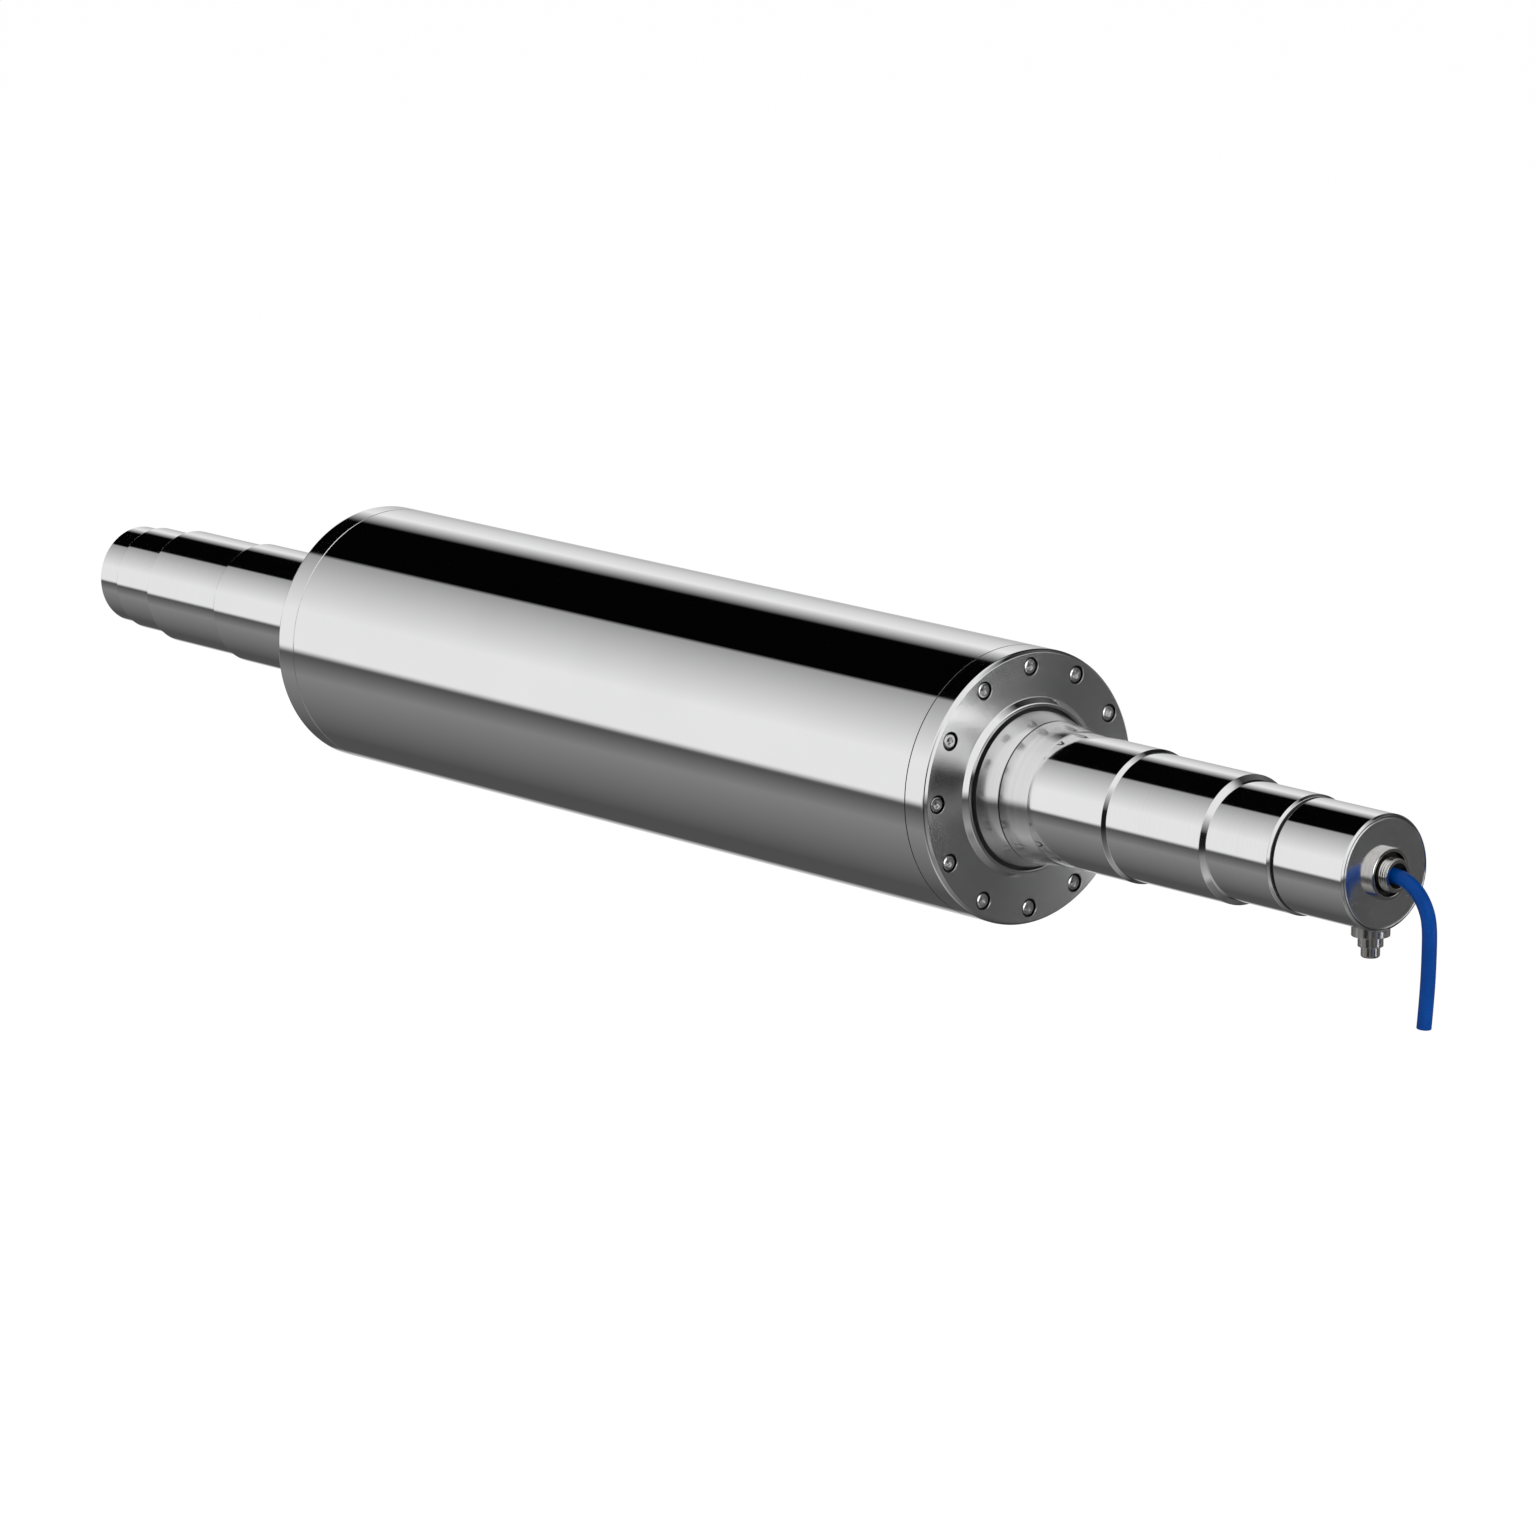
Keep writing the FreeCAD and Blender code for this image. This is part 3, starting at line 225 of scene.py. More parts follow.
def volume_under(corners):
    """Volume inside quads, in cubic centimetres: a sixth of a . (b x c) summed over their triangles."""
    a, b, c, d = np.moveaxis(corners, 1, 0)
    return float(np.sum(a * (np.cross(b, c) + np.cross(c, d))) / 6 / 1000)


def built(name, patches, body, nodes, slot, sharp=False):
    """A closed mesh object from patches in millimetres, which stands for some solids of the frame.

    With sharp, edges over 25 degrees stay sharp and the normals are the faces' own. Otherwise each
    corner keeps the normal that its patch gives it.
    """
    corners, slants = loops_of(patches)
    facing = np.cross(corners[:, 2] - corners[:, 0], corners[:, 3] - corners[:, 1])
    away = np.sum(facing * slants.sum(axis=1), axis=1) < 0
    corners[away] = corners[away, ::-1]
    slants[away] = slants[away, ::-1]
    if volume_under(corners) < 0:
        corners, slants = corners[:, ::-1], -slants[:, ::-1]
    metres = (corners.reshape(-1, 3) + np.array([SHELL_MIDDLE, 0, 0])) / 1000
    places, index = np.unique(np.round(metres, 7) + 0.0, axis=0, return_inverse=True)
    quads = index.reshape(-1, 4)
    kept = quads != np.roll(quads, 1, axis=1)
    whole = kept.sum(axis=1) > 2
    quads, kept, slants = quads[whole], kept[whole], slants[whole]
    starts = np.concatenate([[0], np.cumsum(kept.sum(axis=1))[:-1]])
    mesh = bpy.data.meshes.new(name)
    mesh.vertices.add(len(places))
    mesh.vertices.foreach_set("co", places.ravel())
    mesh.loops.add(int(kept.sum()))
    mesh.loops.foreach_set("vertex_index", quads[kept].astype(np.int32))
    mesh.polygons.add(len(quads))
    mesh.polygons.foreach_set("loop_start", starts.astype(np.int32))
    mesh.update(calc_edges=True)
    mesh.shade_smooth()
    if sharp:
        mesh.set_sharp_from_angle(angle=math.radians(25))
    else:
        mesh.normals_split_custom_set(slants[kept].tolist())
    thing = bpy.data.objects.new(name, mesh)
    bpy.context.collection.objects.link(thing)
    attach(thing, body)
    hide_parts(*nodes)
    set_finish(thing, slot)
    print(f"{name}: {len(quads)} faces, {volume_under(corners):.0f} cubic centimetres")
    return thing


def turned(name, outline, start, body, nodes, slot, easing=0.3, ahead=1, steps=STEPS):
    """A turned piece: its closed outline, rounded, carried round the axis from a starting place."""
    patch = put(carried_round(closed_strip(rounded(outline, easing)), steps), start, ahead)
    return built(name, [patch], body, nodes, slot)


# %% [markdown]
# ## The shell
# The shell is one thick tube, ground and chromed. Its ends are counterbored for the journals' discs, and
# its outer corners are broken by half a millimetre, which makes the fine seam beside each flange; painted
# shade on the seam darkens it.

# %% The shell
shell = turned("polished_shell", [
    (-450, 97), (-450, 124.5), (-449.5, 125), (449.5, 125), (450, 124.5), (450, 97),
    (424, 97), (424, 92), (-424, 92), (-424, 97),
], 0, "roll", ["roll_shell"], "shell_chrome", easing=0.2)

# %% [markdown]
# ## The journals
# Each journal is turned from one bar: a disc in the shell's counterbore, a collar through the flange, a
# fine groove, a taper, and ground seats that step down by sloped shoulders. The outline lists places
# outwards from the shell's end face, with the bearing's or bush's pocket inside.

# %% The journals
INSIDE_AND_COLLAR = [(-36, 70), (-26, 70), (-26, 96.97), (-4, 96.97), (-4, 71), (34, 71),
                     (56, 65), (57, 63.8), (58, 65), (90, 60.8), (90, 60)]
near_journal = turned("near_stepped_journal", [(-36, 55.03)] + INSIDE_AND_COLLAR + [
    (184, 60), (188, 57.5), (304.5, 57.5), (308.5, 53), (383, 53), (385, 51), (385, 48.53),
    (377, 48.53), (377, 41), (385, 41), (385, 38), (0, 38), (0, 49), (-10.5, 49), (-10.5, 55.03),
    (-32.5, 55.03), (-32.5, 57.03), (-35.03, 57.03), (-35.03, 55.03),
], SHELL_END, "roll", ["near_journal"], "journal_chrome")
far_journal = turned("far_stepped_journal", [(-36, 40.03)] + INSIDE_AND_COLLAR + [
    (220, 60), (224, 57), (338, 57), (342, 52), (398, 52), (402, 49), (430, 49), (432, 47),
    (432, 8), (418.144, 0), (60, 0), (60, 34), (10, 34), (10, 40.03),
], -SHELL_END, "roll", ["far_journal"], "journal_chrome", ahead=-1)

# %% [markdown]
# ## The flanges
# A flange is turned too, but twelve counterbored holes break its faces. Cutting them with a boolean would
# leave long thin faces. Instead the two faces are made of sectors, one to a hole: each sector's grid runs
# from its border straight to the hole's rim, and further rows go down the hole. The turned bands and the
# sectors share their border points, so they join without a gap.

# %% A sector of a drilled face
HOLES = 12
ARC_STEPS = STEPS // HOLES
SIDE_STEPS = 8
SCREW_RING = 110.0


def sector_border(hole, inner, outer):
    """Points (y, z) round one sector: out along one side, round the rim, in along the other side."""
    angles = turns()
    first = (hole * ARC_STEPS - ARC_STEPS // 2) % STEPS
    arc = (first + np.arange(ARC_STEPS + 1)) % STEPS
    side = np.linspace(inner, outer, SIDE_STEPS + 1)
    radius = np.concatenate([side, np.full(ARC_STEPS - 1, outer), side[::-1],
                             np.full(ARC_STEPS - 1, inner), side[:1]])
    index = np.concatenate([np.full(SIDE_STEPS + 1, arc[0]), arc[1:-1],
                            np.full(SIDE_STEPS + 1, arc[-1]), arc[-2:0:-1], arc[:1]])
    return np.stack([radius * np.cos(angles[index]), radius * np.sin(angles[index])], axis=-1)


def drilled_sector(hole, inner, outer, face, looking, rows):
    """One sector of a flat face with the wall of its hole, as a patch.

    The border's points keep their bearings b from the hole's centre: a row (x, r, nx, nr) of the
    hole's wall is (x, r cos b, r sin b) about that centre, with the normal (nx, nr cos b, nr sin b).
    """
    border = sector_border(hole, inner, outer)
    bearing = 2 * np.pi * hole / HOLES
    centre = SCREW_RING * np.array([math.cos(bearing), math.sin(bearing)])
    bearings = np.arctan2(border[:, 1] - centre[1], border[:, 0] - centre[0])
    spoke = np.stack([np.cos(bearings), np.sin(bearings)], axis=-1)
    x, radius, lean, across = np.array(rows).T[:, :, None]
    wall = centre + radius[..., None] * spoke
    points = np.concatenate([np.broadcast_to(x[..., None], wall.shape[:2] + (1,)), wall], axis=-1)
    normals = np.concatenate([np.broadcast_to(lean[..., None], wall.shape[:2] + (1,)),
                              across[..., None] * spoke], axis=-1)
    edge = np.concatenate([np.full((len(border), 1), face), border], axis=-1)[None]
    flat = np.broadcast_to(np.array([looking, 0, 0]), edge.shape)
    return np.concatenate([edge, points]), np.concatenate([flat, normals])


print("a sector's border has", len(sector_border(0, 82, 122)), "points")

# %% The flanges
FLANGE_OUTLINE = [(-4, 72), (-4, 96.97), (0, 96.97), (0, 124.5), (0.5, 125), (24, 125), (27, 122),
                  (27, 82), (32, 77), (32, 74), (4, 74), (4, 72)]
FLANGE_EASING = np.array([.4, .4, .2, .2, .2, 1.6, .4, .6, 1.2, 1.2, .4, .4])
HALF = math.sqrt(0.5)
COUNTERBORE = [(27, 8.95, 1, 0), (26.93, 8.7, HALF, -HALF), (26.7, 8.5, 0, -1), (18, 8.5, 0, -1),
               (18, 8.5, 1, 0), (18, 4.5, 1, 0), (18, 4.5, 0, -1), (9, 4.5, 0, -1)]
CLEARANCE_HOLE = [(0, 4.5, -1, 0), (0, 4.5, 0, -1), (9, 4.5, 0, -1)]


def flange(name, node, start, ahead):
    """Turned bands from the outline's rounded corners, and drilled sectors in its two flat faces."""
    points, normals = rounded(FLANGE_OUTLINE, FLANGE_EASING)
    rim = strip((points[3:7], normals[3:7]))
    hub = strip((np.roll(points, -7, axis=0)[:8], np.roll(normals, -7, axis=0)[:8]))
    patches = [carried_round(rim), carried_round(hub)]
    front = (hub[0][0, 1], rim[0][-1, 1])
    back = (hub[0][-1, 1], rim[0][0, 1])
    patches += [drilled_sector(hole, *front, 27, 1, COUNTERBORE) for hole in range(HOLES)]
    patches += [drilled_sector(hole, *back, 0, -1, CLEARANCE_HOLE) for hole in range(HOLES)]
    return built(name, [put(patch, start, ahead) for patch in patches], "roll", [node], "flange_steel")


near_flange = flange("near_bolted_flange", "near_flange", SHELL_END, 1)
far_flange = flange("far_bolted_flange", "far_flange", -SHELL_END, -1)

# %% [markdown]
# ## The flange screws
# Twenty-four socket-head screws hold the flanges. Only the heads show, deep in their counterbores: a
# rounded rim, a chamfered mouth and a hexagonal socket. A circle becomes a hexagon where its radius is
# stretched by 1 / cos of the angle from the nearest flat.

# %% The flange screws
def hexagon(angles):
    """How far a hexagon with flats at distance 1 reaches at each angle: 1 / cos(angle from a flat)."""
    return 1 / np.cos((angles + np.pi / 6) % (np.pi / 3) - np.pi / 6)


def surface(x, radius, angles):
    """A patch from places and radii on a grid of rows and angles, its normals by differences."""
    points = np.stack([x, radius * np.cos(angles), radius * np.sin(angles)], axis=-1)
    normals = np.cross(np.gradient(points, axis=0), np.gradient(points, axis=1))
    return points, normals


def screw_patch(hole, start, ahead):
    """A screw from its head's rim in to the socket and back along its shank, in 36 steps.

    A row (x, r, h) has the radius r (1 - h + h hexagon), so h turns the circle into a hexagon.
    """
    x, radius, key = np.array([
        (-22, 0, 0), (-22, 3.4, 0), (-21.4, 4, 0), (18, 4, 0), (18, 6.3, 0), (18.2, 6.5, 0),
        (25.2, 6.5, 0), (25.6, 6.4, 0), (25.9, 6.1, 0), (26, 5.7, 0), (26, 3.75, 0),
        (25.6, 3, 1), (22, 3, 1), (21.5, 0, 0),
    ]).T[:, :, None]
    angles = turns(36)
    patch = surface(np.broadcast_to(x, (len(x), len(angles))),
                    radius * (1 - key + key * hexagon(angles)), angles)
    points, normals = put(patch, start, ahead)
    bearing = 2 * np.pi * hole / HOLES
    centre = SCREW_RING * np.array([0, math.cos(bearing), math.sin(bearing)])
    return points + centre, normals * ahead


screws = built("socket_head_screws",
               [screw_patch(hole, ahead * SHELL_END, ahead) for hole in range(HOLES) for ahead in (1, -1)],
               "roll", ["flange_screws"], "screw_steel", sharp=True)

# %% [markdown]
# ## The head and its end disc
# The head is a cup that stands still beyond the turning journal. A flush disc closes it, held by the
# gland. Their bevels leave a bright rim, a dark joint darkened further by painted shade, and a second bright
# ring.

# %% The head and its end disc
head_cup = turned("head_cup", [
    (0, 25.03), (0, 41), (6, 41), (6, 48.53), (0, 48.53), (0, 50), (1, 51), (82.2, 51), (84, 49.4),
    (84, 48.53), (76, 48.53), (76, 44), (12, 44), (12, 25.03),
], 838.5, "stator", ["head_housing"], "head_chrome", easing=0.25)
end_disc = turned("head_end_disc", [
    (0, 16.03), (0, 48.5), (6.6, 48.5), (8, 47.1), (8, 16.03),
], 914.5, "stator", ["end_cover"], "head_chrome", easing=0.25)

# %% [markdown]
# ## The cable gland
# The gland's body is a hexagon with its corners turned away, a round recess in its front, and a threaded
# barrel that stands out of the recess. The thread is a wave in the radius that climbs one pitch per turn.

# %% The gland's body
GLAND_FACE = 922.5
GLAND_TURN = math.radians(14)
THREAD_PITCH = 2.6
THREAD_DEPTH = 0.9


def gland_patch():
    """The gland as rows (x, r, kind) about the axis, where kind is 1 for the hexagon, 2 for the thread.

    The worn hexagon's radius is the smaller of 16.5 + 6 hexagon(angle + 14 degrees) and the cone
    22 + 2.4 (7 - x). The thread takes depth (1 - cos(2 pi x / pitch - angle)) / 2 off the barrel.
    """
    hexagon_x = np.array([0, 3.5, 5.5, 6.0, 6.3, 6.5, 6.65, 6.8, 6.9])
    thread_x = np.linspace(2.5, 13.3, 44)
    rows = np.concatenate([
        [(-16.5, 8, 0), (-16.5, 15.7, 0), (-16.2, 16, 0), (0, 16, 0)],
        np.stack([hexagon_x, np.full(9, 22.5), np.ones(9)], axis=-1),
        [(7, 21.9, 0), (7, 19.8, 0), (6.8, 19.5, 0), (2.5, 19.5, 0)],
        np.stack([thread_x, np.full(44, 14.9), np.full(44, 2)], axis=-1),
        [(13.5, 14.2, 0), (13.5, 12.5, 0), (-4, 12.5, 0), (-4, 8, 0), (-16.5, 8, 0)],
    ])
    angles = turns(96)
    x, radius, kind = rows.T[:, :, None]
    bolt = np.minimum(16.5 + 6 * hexagon(angles + GLAND_TURN), 22 + 2.4 * (7 - x))
    wave = 1 - np.cos(2 * np.pi * x / THREAD_PITCH - angles)
    grown = np.where(kind == 1, bolt, np.where(kind == 2, radius - THREAD_DEPTH * wave / 2, radius))
    return surface(np.broadcast_to(x, grown.shape), grown, angles)


gland = built("gland_hexagon_body", [put(gland_patch(), GLAND_FACE)], "stator", ["gland_body"],
              "gland_chrome", sharp=True)
mouth = turned("gland_mouth_ring", [
    (2.5, 11), (2.5, 12.47), (13.5, 12.47), (13.5, 14.5), (15.5, 14.5), (15.5, 11),
], GLAND_FACE, "stator", ["gland_clamp_ring"], "gland_chrome", easing=0.6, steps=96)

# %% [markdown]
# ## The sensor socket
# Under the head hangs a small round socket: a saddle that follows the head, a coupling ring and a cap.
# They are turned about an upright axis, so their grids are swung from X to -Z. The saddle's top is the
# height of the head's cylinder above each point: the square root of 51.03^2 - y^2.

# %% The sensor socket
SOCKET_PLACE = 906.5
HEAD_ROUND = 51.03


def hung(patch):
    """A patch about the X axis swung to hang from the head: (x, y, z) becomes (place + z, y, -x)."""
    points, normals = patch

    def swing(grid):
        return np.stack([grid[..., 2], grid[..., 1], -grid[..., 0]], axis=-1)

    return swing(points) + np.array([SOCKET_PLACE, 0, 0]), swing(normals)


def saddle_patch():
    """The saddle with its stem and core, as rows (depth, r); depth 0 stands for the head's own round."""
    rows = np.array([(38, 0), (38, 6.6), (38.4, 7), (0, 7), (0, 10), (0, 13), (0, 16.2), (0, 16.8),
                     (56.5, 16.8), (56.85, 16.6), (57, 16.2), (57, 6), (71.1, 6), (71.5, 5.6), (71.5, 0)])
    angles = turns(96)
    depth, radius = rows.T[:, :, None]
    round_depth = np.sqrt(HEAD_ROUND ** 2 - (radius * np.cos(angles)) ** 2)
    return surface(np.where(depth > 0, depth, round_depth),
                   np.broadcast_to(radius, round_depth.shape), angles)


saddle = built("socket_saddle", [hung(saddle_patch())], "stator", ["sensor_socket_base"],
               "socket_chrome", sharp=True)


def hung_ring(name, outline, node, easing):
    """A turned piece of the socket, from its closed outline of depths and radii."""
    patch = hung(carried_round(closed_strip(rounded(outline, easing)), 96))
    return built(name, [patch], "stator", [node], "socket_chrome")


coupling = hung_ring("socket_coupling_ring", [
    (57, 6.03), (57, 11.1), (66.3, 11.1), (66.3, 6.03)], "sensor_socket_ring", 0.5)
cap = hung_ring("socket_cap", [
    (66.3, 6.03), (66.3, 8.3), (74.6, 8.3), (76, 6.9), (76, 0), (71.53, 0), (71.53, 6.03)],
    "sensor_socket_cap", 0.4)

# %% [markdown]
# ## Finishes from nodes
# A finish is a shader with a few textures behind it. Plain values go straight on the shader's sockets,
# and only what varies over the surface is worked out by nodes. A few helpers keep the node code short.

# %% Helpers for finishes
def add_node(tree, kind, inputs=(), **settings):
    """A node with its settings; each input is linked where its value is another node's output."""
    node = tree.nodes.new(kind)
    for name, value in settings.items():
        setattr(node, name, value)
    for name, value in dict(inputs).items():
        if isinstance(value, bpy.types.NodeSocket):
            tree.links.new(value, node.inputs[name])
        else:
            node.inputs[name].default_value = value
    return node


def finish(name, values):
    """A new material and its tree; 'values' go on the shader's own sockets."""
    material = bpy.data.materials.new(name)
    material.use_nodes = True
    shader = material.node_tree.nodes["Principled BSDF"]
    for socket, value in values.items():
        shader.inputs[socket].default_value = value
    return material, material.node_tree, shader


def spread(tree, value, low, high):
    """A value from 0.3 to 0.7, as most noise is, spread over the range from low to high."""
    return add_node(tree, "ShaderNodeMapRange", {
        "Value": value, "From Min": 0.3, "From Max": 0.7, "To Min": low, "To Max": high}).outputs[0]


def blended(tree, share, first, second):
    """A colour between two, by a share from 0 to 1."""
    return add_node(tree, "ShaderNodeMix", {0: share, 6: first + (1,), 7: second + (1,)},
                    data_type="RGBA").outputs[2]


# %% [markdown]
# ## Turned and ground metal
# A tool or a grinding wheel leaves fine lines that run round the axis: rings on a flat face, hoops on a
# cylinder. They are a noise that depends only on the place along the axis and the distance from it. Soft
# clouds of slightly different polish lie over them.

# %% Turned and ground metal
def axis_lines(tree, scale, centre=(0, 0, 0), turn=(0, 0, 0)):
    """Noise of (x, distance from the axis), about an axis through 'centre' turned by 'turn'."""
    place = add_node(tree, "ShaderNodeTexCoord").outputs["Object"]
    about = add_node(tree, "ShaderNodeMapping", {"Vector": place, "Location": centre, "Rotation": turn},
                     vector_type="TEXTURE").outputs[0]
    parts = add_node(tree, "ShaderNodeSeparateXYZ", {0: about})
    across = add_node(tree, "ShaderNodeCombineXYZ", {"Y": parts.outputs[1], "Z": parts.outputs[2]})
    distance = add_node(tree, "ShaderNodeVectorMath", {0: across.outputs[0]}, operation="LENGTH")
    line = add_node(tree, "ShaderNodeCombineXYZ", {"X": parts.outputs[0], "Y": distance.outputs["Value"]})
    return add_node(tree, "ShaderNodeTexNoise", {"Vector": line.outputs[0], "Scale": scale, "Detail": 3.0},
                    noise_dimensions="2D").outputs[0]


def clouds(tree, scale, detail=2.0):
    """Soft three-dimensional noise on the object's own coordinates."""
    place = add_node(tree, "ShaderNodeTexCoord").outputs["Object"]
    return add_node(tree, "ShaderNodeTexNoise", {
        "Vector": place, "Scale": scale, "Detail": detail}).outputs[0]


def bumped(tree, shader, height, depth, strength=0.3):
    """A bump of 'depth' metres from a height between 0 and 1."""
    bump = add_node(tree, "ShaderNodeBump", {"Height": height, "Distance": depth, "Strength": strength})
    tree.links.new(bump.outputs[0], shader.inputs["Normal"])


def lathe_metal(name, dull, bright, roughness, scale=1800.0, depth=2e-6, **axis):
    """Metal between two colours, its roughness between two values, with lines round the axis."""
    material, tree, shader = finish(name, {"Metallic": 1.0})
    lines = axis_lines(tree, scale, **axis)
    cloud = clouds(tree, 14.0)
    mixed = add_node(tree, "ShaderNodeMix", {0: 0.45, 2: lines, 3: cloud}).outputs[0]
    tree.links.new(blended(tree, spread(tree, mixed, 0.0, 1.0), dull, bright), shader.inputs["Base Color"])
    tree.links.new(spread(tree, mixed, *roughness), shader.inputs["Roughness"])
    bumped(tree, shader, lines, depth)
    return material


SOCKET_AXIS = {"centre": (0.026, 0, 0), "turn": (0, math.pi / 2, 0)}
finishes = {
    "shell_chrome": lathe_metal("mirror_chrome", (0.86, 0.86, 0.865), (0.90, 0.90, 0.905), (0.015, 0.035)),
    "journal_chrome": lathe_metal("ground_chrome", (0.85, 0.85, 0.855), (0.90, 0.90, 0.905), (0.03, 0.08)),
    "collar_steel": lathe_metal("turned_collar", (0.70, 0.70, 0.70), (0.82, 0.82, 0.82), (0.10, 0.18),
                                1200.0),
    "flange_steel": lathe_metal("ground_flange", (0.85, 0.85, 0.855), (0.90, 0.90, 0.905), (0.04, 0.08)),
    "turned_face": lathe_metal("turned_face", (0.84, 0.84, 0.845), (0.89, 0.89, 0.895), (0.21, 0.26), 900.0),
    # painted shade: a near-black rough metal laid on grooves, gaps, recesses and joints where shade would
    # fall
    "painted_joint_shade": lathe_metal("painted_joint_shade", (0.03, 0.03, 0.03), (0.06, 0.06, 0.06), (0.4, 0.6)),
    "screw_steel": lathe_metal("screw_steel", (0.78, 0.78, 0.78), (0.90, 0.90, 0.90), (0.12, 0.22)),
    "head_chrome": lathe_metal("head_chrome", (0.85, 0.85, 0.855), (0.90, 0.90, 0.905), (0.03, 0.07)),
    "end_disc": lathe_metal("satin_disc", (0.84, 0.84, 0.845), (0.89, 0.89, 0.895), (0.12, 0.16), 900.0),
    "gland_chrome": lathe_metal("nickel_plate", (0.56, 0.55, 0.53), (0.70, 0.69, 0.67), (0.05, 0.10)),
    "socket_chrome": lathe_metal("socket_nickel", (0.55, 0.54, 0.53), (0.68, 0.67, 0.66), (0.18, 0.26),
                                 **SOCKET_AXIS),
    "sensor_steel": lathe_metal("sensor_sheath", (0.62, 0.61, 0.60), (0.74, 0.73, 0.72), (0.25, 0.35)),
    "bronze": lathe_metal("bush_bronze", (0.52, 0.34, 0.16), (0.66, 0.45, 0.22), (0.22, 0.34)),
    "bearing_steel": lathe_metal("bearing_steel", (0.72, 0.72, 0.73), (0.84, 0.84, 0.85), (0.08, 0.15)),
    "cage_brass": lathe_metal("cage_brass", (0.70, 0.52, 0.22), (0.82, 0.64, 0.30), (0.20, 0.30)),
    "spring_steel": lathe_metal("spring_steel", (0.22, 0.22, 0.24), (0.36, 0.36, 0.38), (0.30, 0.42)),
    "shaft_steel": lathe_metal("shaft_steel", (0.56, 0.56, 0.56), (0.72, 0.72, 0.72), (0.22, 0.34), 900.0),
}
turned_tree = finishes["turned_face"].node_tree
turned_shader = turned_tree.nodes["Principled BSDF"]
turned_shader.inputs["Anisotropic"].default_value = 0.9
turned_shader.inputs["Anisotropic Rotation"].default_value = 0.25
hoops = add_node(turned_tree, "ShaderNodeTangent", direction_type="RADIAL", axis="X")
turned_tree.links.new(hoops.outputs[0], turned_shader.inputs["Tangent"])
print(len(finishes), "metals")

# %% [markdown]
# ## Layers, windings and mouldings
# The core is a stack of thin sheets and the coils are turns of wire: both are bands along the axis, dark
# between bright. Mouldings, board, ceramic and rubber have a fine grain instead of lines.

# %% Layers, windings and mouldings
WAVE_PITCH = 0.314  # metres from band to band in a wave texture of scale 1


def banded(name, band, gap, pitch, metallic, roughness, depth):
    """Bands across the axis, one each 'pitch' metres, with dark gaps between them."""
    material, tree, shader = finish(name, {"Metallic": metallic})
    place = add_node(tree, "ShaderNodeTexCoord").outputs["Object"]
    wave = add_node(tree, "ShaderNodeTexWave", {"Vector": place, "Scale": WAVE_PITCH / pitch},
                    bands_direction="X").outputs[1]
    sharp = add_node(tree, "ShaderNodeMapRange", {"Value": wave, "From Min": 0.05, "From Max": 0.4})
    worn = add_node(tree, "ShaderNodeMath", {
        0: sharp.outputs[0], 1: spread(tree, clouds(tree, 60.0), 0.8, 1)}, operation="MULTIPLY").outputs[0]
    tree.links.new(blended(tree, worn, gap, band), shader.inputs["Base Color"])
    tree.links.new(spread(tree, clouds(tree, 200.0), *roughness), shader.inputs["Roughness"])
    bumped(tree, shader, wave, depth, 0.6)
    return material


def grained(name, dark, light, scale, roughness, depth=2e-5):
    """A moulded or pressed material whose colour wanders between two, with a fine grain in relief."""
    material, tree, shader = finish(name, {"Metallic": 0.0})
    grain = clouds(tree, scale, 6.0)
    tree.links.new(blended(tree, spread(tree, grain, 0.0, 1.0), dark, light), shader.inputs["Base Color"])
    tree.links.new(spread(tree, clouds(tree, scale / 6), *roughness), shader.inputs["Roughness"])
    bumped(tree, shader, grain, depth)
    return material


finishes.update({
    "core_steel": banded("laminated_steel", (0.46, 0.47, 0.50), (0.05, 0.05, 0.06), 0.0005, 0.9,
                         (0.35, 0.5), 1e-4),
    "coil_copper": banded("copper_winding", (0.80, 0.36, 0.16), (0.14, 0.05, 0.02), 0.002, 0.85,
                          (0.28, 0.4), 4e-4),
    "insulating_black": grained("black_composite", (0.012, 0.012, 0.012), (0.03, 0.03, 0.03), 1500.0,
                                (0.4, 0.6)),
    "former_board": grained("glass_laminate", (0.36, 0.40, 0.22), (0.48, 0.52, 0.32), 900.0, (0.4, 0.55)),
    "lead_sleeve": grained("lead_sleeve", (0.55, 0.52, 0.46), (0.68, 0.65, 0.58), 2500.0, (0.6, 0.8)),
    "ceramic": grained("terminal_ceramic", (0.74, 0.72, 0.66), (0.84, 0.82, 0.77), 1200.0, (0.3, 0.45)),
    "seal_rubber": grained("seal_rubber", (0.010, 0.010, 0.010), (0.022, 0.022, 0.022), 2500.0, (0.5, 0.7)),
})
print(len(finishes), "finishes")

# %% [markdown]
# ## The cable's jacket
# The jacket is a saturated blue plastic, smooth and slightly uneven, with the faint ripple that a cable
# takes from its drum and a dusting of tiny scratches that dull the gloss.

# %% The cable's jacket
def cable_jacket():
    """Blue plastic: two close blues by soft clouds, and a shallow ripple in relief."""
    material, tree, shader = finish("blue_jacket", {"Specular IOR Level": 0.14})
    patches = spread(tree, clouds(tree, 45.0, 3.0), 0.0, 1.0)
    blue = blended(tree, patches, (0.0, 0.035, 0.19), (0.0, 0.045, 0.23))
    tree.links.new(blue, shader.inputs["Base Color"])
    tree.links.new(spread(tree, clouds(tree, 900.0, 4.0), 0.24, 0.34), shader.inputs["Roughness"])
    bumped(tree, shader, clouds(tree, 160.0, 3.0), 1.5e-4, 0.25)
    return material


finishes["cable_blue"] = cable_jacket()
